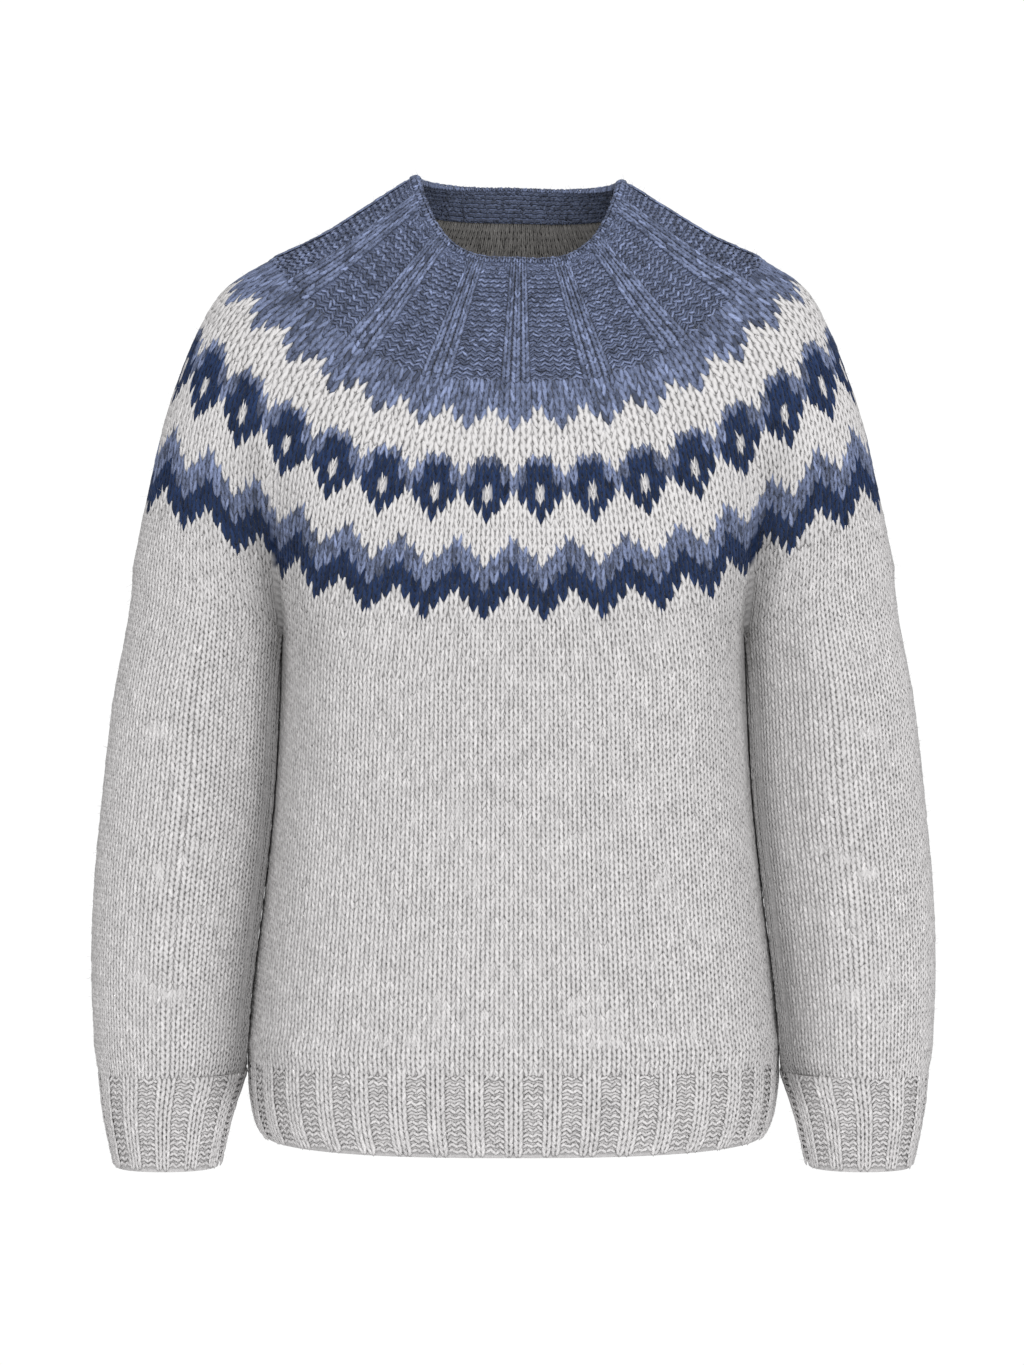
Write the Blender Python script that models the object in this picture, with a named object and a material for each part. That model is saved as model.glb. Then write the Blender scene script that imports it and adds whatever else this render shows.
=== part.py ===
# Yoke sweater in chunky wool, filled out as if worn, with nobody in it. It is knitted from the bottom up:
# hem rib, front and back, two sleeves with cuff ribs, a round patterned yoke that joins them, a ribbed upper
# yoke, and a double neckband folded to the inside. Metres, +Z up, +X towards the wearer's left, the front
# faces -Y. The origin is the middle of the neck opening, where the wearer's neck carries the garment.

import math
from collections import namedtuple
from functools import lru_cache

import bpy
import numpy as np

WALL = 0.003  # thickness of one layer of the knit
SEAM_GAP = 0.0003  # left between two pieces that are joined by a seam
HALF_GAP = SEAM_GAP / 2
LEG_GAP = 0.0005  # between the yoke and the neckband's inner leg, which follow one curve
FOLD_GAP = 0.0010  # the same where front, back, sleeve and yoke meet at the foot of the fold

# Torso, as level oval rings. Below the seam at HEM_TOP it is the hem rib, which draws in at its edge.
BodyRing = namedtuple("BodyRing", "z half_width half_depth")
BODY_RINGS = (
    BodyRing(-0.230, 0.1590, 0.1135),
    BodyRing(-0.315, 0.1600, 0.1135),
    BodyRing(-0.396, 0.1645, 0.1128),
    BodyRing(-0.460, 0.1715, 0.1130),
    BodyRing(-0.534, 0.1808, 0.1145),
    BodyRing(-0.575, 0.1826, 0.1155),
    BodyRing(-0.598, 0.1812, 0.1150),
    BodyRing(-0.619, 0.1762, 0.1120),
    BodyRing(-0.631, 0.1695, 0.1085),
)
BODY_SQUARENESS = 2.5  # 2 is an ellipse, more is squarer
HEM_TOP = -0.574
HEM_EDGE = -0.630
HEM_RISE = 0.005  # the hem's edge is this much higher at the side seams
HEM_RISE_LATE = 3  # how late it starts to rise from the centre towards them

# Left sleeve, as oval rings round an arm that hangs beside the body and a little forward. The right one
# mirrors it.
SleeveRing = namedtuple("SleeveRing", "z centre_x centre_y half_width half_depth")
SLEEVE_RINGS = (
    SleeveRing(-0.230, 0.2098, 0.0000, 0.0510, 0.0460),
    SleeveRing(-0.293, 0.2150, 0.0000, 0.0565, 0.0495),
    SleeveRing(-0.396, 0.2218, -0.0030, 0.0615, 0.0515),
    SleeveRing(-0.465, 0.2285, -0.0060, 0.0605, 0.0510),
    SleeveRing(-0.534, 0.2328, -0.0100, 0.0563, 0.0495),
    SleeveRing(-0.583, 0.2338, -0.0130, 0.0505, 0.0470),
    SleeveRing(-0.608, 0.2367, -0.0140, 0.0450, 0.0430),
    SleeveRing(-0.634, 0.2372, -0.0150, 0.0392, 0.0390),
    SleeveRing(-0.647, 0.2372, -0.0150, 0.0362, 0.0370),
)
SLEEVE_SQUARENESS = 2.2
LOBE_HALF_WIDTH = 0.0555  # of the sleeve's oval where the yoke joins it, which runs into the body's
CUFF_TOP = -0.582
CUFF_EDGE = -0.6465
SLEEVE_CLEARANCE_TOP = 0.0006  # beside the body at the underarm seam
SLEEVE_CLEARANCE_LOW = 0.0010  # beside the body where the sleeve hangs free
CLEARANCE_RUN = 0.090  # height over which the first grows to the second

# Yoke, as rings that follow the rounds of knitting down from the crest of the neck. Each row gives where the
# round crosses the centre front, the shoulder line and the centre back. pinch is how deep the fold between
# body and sleeve is: 0 is a plain oval, 1 the full outline of body and sleeves side by side.
YokeRing = namedtuple("YokeRing", "down front_y front_z side_x side_z back_y back_z pinch squareness")
YOKE_RINGS = (
    YokeRing(0.000, -0.0740, -0.0320, 0.0725, 0.0335, 0.0710, 0.0320, 0.00, 2.00),
    YokeRing(0.030, -0.0835, -0.0560, 0.0995, 0.0155, 0.0790, 0.0045, 0.00, 2.00),
    YokeRing(0.065, -0.0925, -0.0860, 0.1345, -0.0070, 0.0905, -0.0270, 0.00, 2.00),
    YokeRing(0.100, -0.0990, -0.1150, 0.1690, -0.0240, 0.1010, -0.0600, 0.00, 2.05),
    YokeRing(0.138, -0.1040, -0.1450, 0.2020, -0.0470, 0.1075, -0.0930, 0.00, 2.12),
    YokeRing(0.162, -0.1072, -0.1650, 0.2155, -0.0690, 0.1105, -0.1150, 0.02, 2.18),
    YokeRing(0.205, -0.1115, -0.2060, 0.2350, -0.1180, 0.1148, -0.1580, 0.16, 2.26),
    YokeRing(0.278, -0.1135, -0.2720, 0.2542, -0.1960, 0.1150, -0.2280, 0.66, 2.32),
    YokeRing(0.320, -0.1135, -0.3150, 0.2625, -0.2360, 0.1135, -0.2680, 1.00, 2.35),
)
COLOURWORK_TOP = 0.100  # down from the crest, where the ribs end and the patterned knitting begins
BAND_OUTSIDE = 0.012  # down from the crest, the outer leg of the folded neckband
BAND_INSIDE = 0.022  # down from the crest, the inner leg, which is sewn down inside
RISE_LATE = 1.5  # how late a round starts to climb from the centre front towards the shoulder
LEVEL_RUN = 0.030  # over which the yoke's wall turns upright towards its lowest round
DOWN_PROBE = 0.002  # step along the yoke that its outward direction is measured over
ROUND_PROBE = 0.002  # the same round it, as a share of the round
CREST_PROBE = 0.004  # step below the crest that gives the band's upward direction

# How finely each piece is divided.
BODY_FRONT_STEPS = 10  # from the centre front to the fold
UNDERARM_STEPS = 3  # from the fold to the side seam
LOBE_STEPS = 8  # from the fold to the outside of the sleeve
INNER_STEPS = 8  # across the sleeve's side that faces the body
UPPER_STEPS = 12  # in each quarter of the upper yoke and of the neckband
FOLD_GAP_STEPS = 4  # columns over which the gap at the foot of the fold closes
JOIN_RUN = 0.3  # share of the body's and sleeve's height over which they settle from the join's outline
BODY_ROWS = 7
SLEEVE_ROWS = 9
RIB_ROWS = 3
PATTERN_ROWS = 9
UPPER_ROWS = 5
BAND_TURN_STEPS = 4
FINE = 400  # samples used to measure a curve's length
PLAIN_FINE = 60  # the same on a plain oval, which needs fewer
TURN_FINE = 3200  # the same all round a sleeve
HALVINGS = 40  # that find where the body's arc and the sleeve's cross

YARNS = {  # colour and roughness
    "light_grey_wool": ((0.565, 0.560, 0.552, 1.0), 0.95),
    "blue_wool": ((0.105, 0.147, 0.292, 1.0), 0.95),
    "patterned_wool": ((0.330, 0.350, 0.430, 1.0), 0.95),
}


def clear_scene():
    for thing in list(bpy.data.objects):
        bpy.data.objects.remove(thing, do_unlink=True)


@lru_cache(maxsize=None)
def column_of(rows, key, column):
    """A column of a table of named rows, as its keys in rising order, its values and its slopes."""
    keys = np.array([getattr(row, key) for row in rows])
    values = np.array([getattr(row, column) for row in rows])
    if keys[0] > keys[-1]:
        keys, values = keys[::-1], values[::-1]
    return keys, values, np.gradient(values, keys)


@lru_cache(maxsize=None)
def smooth_read(rows, key, column, at):
    """Reads a column of a table of named rows at key = at, on a smooth curve through its rows."""
    keys, values, slopes = column_of(rows, key, column)
    k = int(np.clip(np.searchsorted(keys, at) - 1, 0, len(keys) - 2))
    span = keys[k + 1] - keys[k]
    u = min(max((at - keys[k]) / span, 0.0), 1.0)
    start, end = values[k], values[k + 1]
    rise_out, rise_in = slopes[k] * span, slopes[k + 1] * span
    return (
        start * (2 * u**3 - 3 * u**2 + 1)
        + rise_out * (u**3 - 2 * u**2 + u)
        + end * (3 * u**2 - 2 * u**3)
        + rise_in * (u**3 - u**2)
    )


def oval(half_width, half_depth, squareness, turn):
    """A point on an oval at an angle from its -Y end towards +X."""
    s, c = math.sin(turn), math.cos(turn)
    return (
        half_width * math.copysign(abs(s) ** (2 / squareness), s),
        -half_depth * math.copysign(abs(c) ** (2 / squareness), c),
    )


def body_half_width(z, y):
    """Half the torso's width at a height and a distance from its middle plane."""
    half_depth = smooth_read(BODY_RINGS, "z", "half_depth", z)
    share = max(1 - abs(y / half_depth) ** BODY_SQUARENESS, 0.0)
    return smooth_read(BODY_RINGS, "z", "half_width", z) * share ** (1 / BODY_SQUARENESS)


@lru_cache(maxsize=None)
def body_quarter(z, front):
    """A quarter of the torso's ring, finely divided, from its centre front or back to its side."""
    half_width = smooth_read(BODY_RINGS, "z", "half_width", z)
    half_depth = smooth_read(BODY_RINGS, "z", "half_depth", z)
    turns = np.linspace(0, math.pi / 2, FINE)
    points = np.array([oval(half_width, half_depth, BODY_SQUARENESS, turn) for turn in turns])
    return points if front else points * (1, -1)


def sleeve_point(z, turn):
    """A point on the left sleeve's ring, at an angle from its -Y end towards +X, kept clear of the body."""
    ring = {name: smooth_read(SLEEVE_RINGS, "z", name, z) for name in SleeveRing._fields[1:]}
    x, y = oval(ring["half_width"], ring["half_depth"], SLEEVE_SQUARENESS, turn)
    x, y = x + ring["centre_x"], y + ring["centre_y"]
    free = min(max((UNDERARM_Z - z) / CLEARANCE_RUN, 0.0), 1.0)
    clearance = SLEEVE_CLEARANCE_TOP + (SLEEVE_CLEARANCE_LOW - SLEEVE_CLEARANCE_TOP) * free
    return max(x, body_half_width(z, y) + clearance), y


def lengths_along(points):
    steps = np.linalg.norm(np.diff(points, axis=0), axis=1)
    return np.concatenate([[0.0], np.cumsum(steps)])


def at_share(points, share):
    """The point at a share, 0 to 1, of a finely divided plane curve's length."""
    along = lengths_along(points)
    at = share * along[-1]
    return np.interp(at, along, points[:, 0]), np.interp(at, along, points[:, 1])


def climb(share):
    """How far a round of the yoke has climbed, 0 at the centre front or back and 1 on the shoulder line."""
    return math.sin(math.pi / 2 * share**RISE_LATE) ** 2


def join_outline(front):
    """The last round before the yoke, seen from above: the body's arc, then the sleeve's arc.

    Returns a quarter of it, finely divided, and the share of its length at which the fold lies."""
    low = YOKE_RINGS[-1]
    level = (low.front_z if front else low.back_z) / 2 + low.side_z / 2
    half_width = smooth_read(BODY_RINGS, "z", "half_width", level)
    half_depth = abs(low.front_y if front else low.back_y)
    lobe_half_depth = smooth_read(SLEEVE_RINGS, "z", "half_depth", level)
    centre_x = low.side_x - LOBE_HALF_WIDTH

    def lobe(turn):
        x, y = oval(LOBE_HALF_WIDTH, lobe_half_depth, SLEEVE_SQUARENESS, turn)
        return centre_x + x, y

    def outside_body(point):
        across = abs(point[0] / half_width) ** BODY_SQUARENESS
        return across + abs(point[1] / half_depth) ** BODY_SQUARENESS > 1

    inside, outside = -math.pi / 2, 0.0
    for _ in range(HALVINGS):
        middle = (inside + outside) / 2
        if outside_body(lobe(middle)):
            outside = middle
        else:
            inside = middle
    fold = np.array(lobe(outside))
    turns = np.linspace(0, math.pi / 2, FINE)
    body = np.array([oval(half_width, half_depth, BODY_SQUARENESS, turn) for turn in turns])
    body = np.vstack([body[body[:, 1] < fold[1]], fold])
    sleeve = np.array([lobe(turn) for turn in np.linspace(outside, math.pi / 2, FINE)])
    share = lengths_along(body)[-1] / (lengths_along(body)[-1] + lengths_along(sleeve)[-1])
    outline = np.vstack([body, sleeve[1:]])
    return (outline if front else outline * (1, -1)), share


JOIN_FRONT, FOLD_SHARE_FRONT = join_outline(True)
JOIN_BACK, FOLD_SHARE_BACK = join_outline(False)


@lru_cache(maxsize=None)
def yoke_outside(down, share, front):
    """A point of the yoke's outer face, at a distance down from the crest and a share of a quarter round."""
    ring = {name: smooth_read(YOKE_RINGS, "down", name, down) for name in YokeRing._fields[1:]}
    middle_y = ring["front_y"] if front else ring["back_y"]
    middle_z = ring["front_z"] if front else ring["back_z"]
    turns = np.linspace(0, math.pi / 2, PLAIN_FINE)
    plain = np.array([oval(ring["side_x"], abs(middle_y), ring["squareness"], turn) for turn in turns])
    plain_x, plain_y = at_share(plain, share)
    join = JOIN_FRONT if front else JOIN_BACK
    folded_x, folded_y = at_share(join, share)
    low = YOKE_RINGS[-1]
    folded_x *= ring["side_x"] / low.side_x
    folded_y *= middle_y / (low.front_y if front else low.back_y)
    plain_y *= 1 if front else -1
    pinch = ring["pinch"]
    x = plain_x + (folded_x - plain_x) * pinch
    y = plain_y + (folded_y - plain_y) * pinch
    return np.array([x, y, middle_z + (ring["side_z"] - middle_z) * climb(share)])


def yoke_round(share):
    """Turns a share of the whole round, 0 at the centre front and 0.25 at the left shoulder, into a quarter's
    own share, whether it is a front quarter, and its side: 1 left, -1 right."""
    share = share % 1.0
    side = 1 if share <= 0.5 else -1
    half = share if side > 0 else 1 - share
    front = half <= 0.25
    return (half / 0.25 if front else (0.5 - half) / 0.25), front, side


def yoke_point(down, share):
    quarter, front, side = yoke_round(share)
    return yoke_outside(down, quarter, front) * (side, 1, 1)


def yoke_normal(down, share):
    """The outward direction on the yoke. At its lowest round it is level, as on the body and sleeves."""
    high, low = max(down - DOWN_PROBE, 0.0), min(down + DOWN_PROBE, YOKE_RINGS[-1].down)
    up = yoke_point(high, share) - yoke_point(low, share)
    level = min(max((YOKE_RINGS[-1].down - down) / LEVEL_RUN, 0.0), 1.0)
    up = up / np.linalg.norm(up) * level + np.array([0, 0, 1.0]) * (1 - level)
    around = yoke_point(down, share + ROUND_PROBE) - yoke_point(down, share - ROUND_PROBE)
    if level < 1:
        around = around * (1, 1, level) if level > 0 else around * (1, 1, 0)
    outward = np.cross(around, up)
    return outward / np.linalg.norm(outward)


def fold_height(front):
    """The height of the fold's foot, on the join round."""
    low = YOKE_RINGS[-1]
    share = FOLD_SHARE_FRONT if front else FOLD_SHARE_BACK
    middle = low.front_z if front else low.back_z
    return middle + (low.side_z - middle) * climb(share)


FOLD_FRONT = np.array(at_share(JOIN_FRONT, FOLD_SHARE_FRONT))
FOLD_BACK = np.array(at_share(JOIN_BACK, FOLD_SHARE_BACK))
UNDERARM_Z = (fold_height(True) + fold_height(False)) / 2


def underarm_height(y):
    """The height of the underarm seam between the front fold and the back fold."""
    share = (y - FOLD_FRONT[1]) / (FOLD_BACK[1] - FOLD_FRONT[1])
    return fold_height(True) + (fold_height(False) - fold_height(True)) * min(max(share, 0.0), 1.0)


def level_normals(ring):
    """Outward level directions round a closed ring that runs anticlockwise seen from above."""
    ahead, behind = np.roll(ring, -1, axis=0), np.roll(ring, 1, axis=0)
    along = ahead - behind
    outward = np.stack([along[:, 1], -along[:, 0], np.zeros(len(ring))], axis=1)
    return outward / np.linalg.norm(outward, axis=1)[:, None]


def material(name):
    made = bpy.data.materials.get(name)
    if made is None:
        colour, roughness = YARNS[name]
        made = bpy.data.materials.new(name)
        made.use_nodes = True
        shader = made.node_tree.nodes["Principled BSDF"]
        shader.inputs["Base Color"].default_value = colour
        shader.inputs["Roughness"].default_value = roughness
        shader.inputs["Metallic"].default_value = 0.0
        made.diffuse_color = colour
    return made


def add_solid(name, points, faces, yarn):
    mesh = bpy.data.meshes.new(name)
    mesh.from_pydata([tuple(point) for point in points], [], faces)
    mesh.materials.append(material(yarn))
    mesh.shade_smooth()
    mesh.set_sharp_from_angle(angle=math.radians(50))
    mesh.validate()
    solid = bpy.data.objects.new(name, mesh)
    bpy.context.scene.collection.objects.link(solid)
    return solid


def add_wall(name, outer, normals, yarn, closed):
    """A wall of the knit. outer holds rows of points, top row first, each anticlockwise seen from above."""
    rows, columns = outer.shape[:2]
    inner = outer - normals * WALL
    points = np.vstack([outer.reshape(-1, 3), inner.reshape(-1, 3)])
    start = rows * columns
    faces = []

    def number(row, column, layer):
        return layer * start + row * columns + column % columns

    for row in range(rows - 1):
        for column in range(columns if closed else columns - 1):
            a, b = number(row, column, 0), number(row, column + 1, 0)
            c, d = number(row + 1, column + 1, 0), number(row + 1, column, 0)
            faces.append((a, d, c, b))
            faces.append((a + start, b + start, c + start, d + start))
    for column in range(columns if closed else columns - 1):
        a, b = number(0, column, 0), number(0, column + 1, 0)
        faces.append((a, b, b + start, a + start))
        a, b = number(rows - 1, column, 0), number(rows - 1, column + 1, 0)
        faces.append((b, a, a + start, b + start))
    if not closed:
        for row in range(rows - 1):
            a, d = number(row, 0, 0), number(row + 1, 0, 0)
            faces.append((d, a, a + start, d + start))
            a, d = number(row, columns - 1, 0), number(row + 1, columns - 1, 0)
            faces.append((a, d, d + start, a + start))
    return add_solid(name, points, faces, yarn)


def join_gap(columns_from_fold):
    """How far an upper edge stays below the join: the seam's gap, and more at the foot of the fold."""
    return SEAM_GAP + FOLD_GAP * max(0.0, 1 - abs(columns_from_fold) / FOLD_GAP_STEPS)


def drawn_to(point, goal, below):
    """A point moved to the yoke's join at the top edge, and less and less below it."""
    pull = max(0.0, 1 - below / JOIN_RUN) ** 2
    return point[0] + (goal[0] - point[0]) * pull, point[1] + (goal[1] - point[1]) * pull


def body_shares(front):
    """Shares of a quarter of the torso's ring, from its centre to its side seam, with one on the fold."""
    quarter = body_quarter(UNDERARM_Z, front)
    fold = FOLD_FRONT if front else FOLD_BACK
    along = lengths_along(quarter)
    nearest = int(np.argmin(np.linalg.norm(quarter - fold, axis=1)))
    fold_share = along[nearest] / along[-1]
    before = np.linspace(0, fold_share, BODY_FRONT_STEPS + 1)
    after = np.linspace(fold_share, 1, UNDERARM_STEPS + 1)[1:]
    return np.concatenate([before, after])


def body_top(share, column, front):
    """Height of the torso's upper edge at a share of its quarter ring."""
    if column > BODY_FRONT_STEPS:
        return underarm_height(at_share(body_quarter(UNDERARM_Z, front), share)[1])
    low = YOKE_RINGS[-1]
    fold_share = FOLD_SHARE_FRONT if front else FOLD_SHARE_BACK
    middle = low.front_z if front else low.back_z
    return middle + (low.side_z - middle) * climb(fold_share * column / BODY_FRONT_STEPS)


def body_panel(name, front, top, bottom, rows):
    """The front or the back of the torso, between two heights. top None is the yoke's join."""
    shares = body_shares(front)
    grid = []
    for row in range(rows + 1):
        half = []
        for column, share in enumerate(shares):
            if top is None:
                high = body_top(share, column, front) - join_gap(column - BODY_FRONT_STEPS)
            else:
                high = top - HALF_GAP
            low = bottom + HALF_GAP if bottom > HEM_EDGE else bottom + HEM_RISE * share**HEM_RISE_LATE
            z = high + (low - high) * row / rows
            x, y = at_share(body_quarter(z, front), share)
            if top is None and column <= BODY_FRONT_STEPS:
                fold_share = FOLD_SHARE_FRONT if front else FOLD_SHARE_BACK
                goal = at_share(JOIN_FRONT if front else JOIN_BACK, fold_share * column / BODY_FRONT_STEPS)
                x, y = drawn_to((x, y), goal, row / rows)
            half.append((x, y, z))
        half = np.array(half)
        grid.append(np.vstack([half[::-1] * (-1, 1, 1), half[1:]]))
    grid = np.array(grid)
    grid = grid if front else grid[:, ::-1]
    normals = np.array([panel_normals(row) for row in grid])
    gap = np.array([0.0, HALF_GAP * (-1 if front else 1), 0.0])
    grid[:, 0] += gap
    grid[:, -1] += gap
    return add_wall(name, grid, normals, "light_grey_wool", closed=False)


def panel_normals(row):
    """Outward level directions along half a ring; at both ends, the side seams, they point sideways."""
    along = np.gradient(row, axis=0)
    outward = np.stack([along[:, 1], -along[:, 0], np.zeros(len(row))], axis=1)
    outward[0] = (math.copysign(1, row[0, 0]), 0, 0)
    outward[-1] = (math.copysign(1, row[-1, 0]), 0, 0)
    return outward / np.linalg.norm(outward, axis=1)[:, None]


def sleeve_turns():
    """Angles round the sleeve: from the front fold over the outside to the back fold, then beside the body."""
    level = UNDERARM_Z
    turns = np.linspace(-math.pi, math.pi, TURN_FINE)
    ring = np.array([sleeve_point(level, turn) for turn in turns])
    front_fold = turns[int(np.argmin(np.linalg.norm(ring - FOLD_FRONT, axis=1)))]
    back_fold = turns[int(np.argmin(np.linalg.norm(ring - FOLD_BACK, axis=1)))]
    back_fold = back_fold if back_fold > 0 else back_fold + 2 * math.pi
    outer = np.concatenate(
        [
            np.linspace(front_fold, math.pi / 2, LOBE_STEPS + 1)[:-1],
            np.linspace(math.pi / 2, back_fold, LOBE_STEPS + 1)[:-1],
        ]
    )
    inner = np.linspace(back_fold, front_fold + 2 * math.pi, INNER_STEPS + 1)[:-1]
    return np.concatenate([outer, inner])


def sleeve_top(column, turn):
    """Height of the sleeve's upper edge: the join round outside, the underarm seam beside the body."""
    low = YOKE_RINGS[-1]
    if column <= LOBE_STEPS:
        share = FOLD_SHARE_FRONT + (1 - FOLD_SHARE_FRONT) * column / LOBE_STEPS
        return low.front_z + (low.side_z - low.front_z) * climb(share)
    if column <= 2 * LOBE_STEPS:
        share = 1 - (1 - FOLD_SHARE_BACK) * (column - LOBE_STEPS) / LOBE_STEPS
        return low.back_z + (low.side_z - low.back_z) * climb(share)
    return underarm_height(sleeve_point(UNDERARM_Z, turn)[1])


def lobe_goal(column):
    """Where a column of the sleeve meets the yoke, seen from above."""
    if column <= LOBE_STEPS:
        return at_share(JOIN_FRONT, FOLD_SHARE_FRONT + (1 - FOLD_SHARE_FRONT) * column / LOBE_STEPS)
    return at_share(JOIN_BACK, 1 - (1 - FOLD_SHARE_BACK) * (column - LOBE_STEPS) / LOBE_STEPS)


def sleeve_tube(name, side, top, bottom, rows):
    """A stretch of a sleeve between two heights. side is 1 left, -1 right; top None is the join."""
    grid = []
    for row in range(rows + 1):
        ring = []
        for column, turn in enumerate(sleeve_turns()):
            from_fold = min(column, abs(column - 2 * LOBE_STEPS))
            high = sleeve_top(column, turn) - join_gap(from_fold) if top is None else top - HALF_GAP
            low = bottom + (HALF_GAP if bottom > CUFF_EDGE else 0)
            z = high + (low - high) * row / rows
            point = sleeve_point(z, turn)
            if top is None and column <= 2 * LOBE_STEPS:
                point = drawn_to(point, lobe_goal(column), row / rows)
            ring.append((*point, z))
        grid.append(np.array(ring))
    grid = np.array(grid)
    normals = np.array([level_normals(ring) for ring in grid])
    if side < 0:
        grid = grid[:, ::-1] * (-1, 1, 1)
        normals = normals[:, ::-1] * (-1, 1, 1)
    return add_wall(name, grid, normals, "light_grey_wool", closed=True)


def lower_yoke_shares():
    """Shares of the whole round for the patterned yoke, with one on each of the four folds."""
    front = np.concatenate(
        [
            np.linspace(0, FOLD_SHARE_FRONT, BODY_FRONT_STEPS + 1)[:-1],
            np.linspace(FOLD_SHARE_FRONT, 1, LOBE_STEPS + 1),
        ]
    )
    back = np.concatenate(
        [
            np.linspace(0, FOLD_SHARE_BACK, BODY_FRONT_STEPS + 1)[:-1],
            np.linspace(FOLD_SHARE_BACK, 1, LOBE_STEPS + 1),
        ]
    )
    left = np.concatenate([front * 0.25, (0.5 - back * 0.25)[::-1][1:]])
    right = (1 - left)[::-1][1:-1]
    return np.concatenate([left, right])


def yoke_band(name, shares, downs, yarn):
    """A closed band of the yoke's wall, a ring at each distance down from the crest, a gap at both ends."""
    grid, normals = [], []
    for down in (downs[0] + HALF_GAP, *downs[1:-1], downs[-1] - HALF_GAP):
        grid.append([yoke_point(down, share) for share in shares])
        normals.append([yoke_normal(down, share) for share in shares])
    return add_wall(name, np.array(grid), np.array(normals), yarn, closed=True)


def add_neckband(name, shares):
    """The neckband: two layers thick over the crest, one where its inner leg runs down inside the yoke."""
    inner_face = 2 * WALL + LEG_GAP
    radius = inner_face / 2
    outline = [(BAND_OUTSIDE, 0.0), (BAND_OUTSIDE / 2, 0.0), (0.0, 0.0)]
    for step in range(1, BAND_TURN_STEPS):
        turn = math.pi * step / BAND_TURN_STEPS
        outline.append((-radius * math.sin(turn), radius - radius * math.cos(turn)))
    outline += [(0.0, inner_face), (BAND_INSIDE / 2, inner_face), (BAND_INSIDE, inner_face)]
    outline += [(BAND_INSIDE, WALL + LEG_GAP), (BAND_OUTSIDE, WALL + LEG_GAP)]
    rings = []
    for down, inward in outline:
        ring = []
        for share in shares:
            at = max(down, 0.0)
            point, outward = yoke_point(at, share), yoke_normal(at, share)
            if down < 0:
                up = yoke_point(0.0, share) - yoke_point(CREST_PROBE, share)
                point = point - up / np.linalg.norm(up) * down
            ring.append(point - outward * inward)
        rings.append(ring)
    rings = np.array(rings)
    count, columns = rings.shape[:2]
    faces = []
    for row in range(count):
        for column in range(columns):
            a, b = row * columns + column, row * columns + (column + 1) % columns
            c = (row + 1) % count * columns + (column + 1) % columns
            d = (row + 1) % count * columns + column
            faces.append((a, b, c, d))
    return add_solid(name, rings.reshape(-1, 3), faces, "blue_wool")


def build():
    clear_scene()
    body_panel("body_front", True, None, HEM_TOP, BODY_ROWS)
    body_panel("body_back", False, None, HEM_TOP, BODY_ROWS)
    body_panel("hem_rib_front", True, HEM_TOP, HEM_EDGE, RIB_ROWS)
    body_panel("hem_rib_back", False, HEM_TOP, HEM_EDGE, RIB_ROWS)
    for side, word in ((1, "left"), (-1, "right")):
        sleeve_tube("sleeve_" + word, side, None, CUFF_TOP, SLEEVE_ROWS)
        sleeve_tube("cuff_" + word, side, CUFF_TOP, CUFF_EDGE, RIB_ROWS)
    join = YOKE_RINGS[-1].down
    lower_rings = np.linspace(COLOURWORK_TOP, join, PATTERN_ROWS + 1)
    yoke_band("yoke_pattern", lower_yoke_shares(), lower_rings, "patterned_wool")
    below_band = np.linspace(BAND_INSIDE, COLOURWORK_TOP, UPPER_ROWS)
    upper_rings = np.concatenate([[BAND_OUTSIDE + HALF_GAP], below_band])
    upper = np.arange(4 * UPPER_STEPS) / (4 * UPPER_STEPS)
    yoke_band("yoke_rib", upper, upper_rings, "blue_wool")
    add_neckband("neckband", upper)


build()
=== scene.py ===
# Yoke sweater in chunky wool, filled out as if worn. Every piece of knitting is a thin shell of cloth
# with its own yarn laid on it, stitch by stitch. Metres, +Z up, +X to the wearer's left, front at -Y.

import math

import bpy
import numpy as np
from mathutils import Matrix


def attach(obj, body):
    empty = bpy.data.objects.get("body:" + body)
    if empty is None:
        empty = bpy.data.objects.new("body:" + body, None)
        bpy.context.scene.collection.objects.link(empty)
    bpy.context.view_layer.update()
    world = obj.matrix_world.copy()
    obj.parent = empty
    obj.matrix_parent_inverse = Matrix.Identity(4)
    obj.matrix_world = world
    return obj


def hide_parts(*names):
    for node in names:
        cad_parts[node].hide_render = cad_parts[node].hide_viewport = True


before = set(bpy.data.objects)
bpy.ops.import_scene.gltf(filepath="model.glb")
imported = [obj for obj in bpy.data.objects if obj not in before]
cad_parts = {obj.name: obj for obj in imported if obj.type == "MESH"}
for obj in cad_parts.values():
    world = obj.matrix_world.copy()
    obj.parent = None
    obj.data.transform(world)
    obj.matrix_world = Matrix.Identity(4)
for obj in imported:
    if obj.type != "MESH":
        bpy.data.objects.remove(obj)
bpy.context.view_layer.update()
print("frame loaded")

# The shape comes from the same rings as the cut: height, half width, half depth.
bodyRings = np.array([
    (-0.230, 0.1590, 0.1135), (-0.315, 0.1600, 0.1135), (-0.396, 0.1645, 0.1128),
    (-0.460, 0.1715, 0.1130), (-0.534, 0.1808, 0.1145), (-0.575, 0.1826, 0.1155),
    (-0.598, 0.1812, 0.1150), (-0.619, 0.1762, 0.1120), (-0.631, 0.1695, 0.1085),
])
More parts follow.
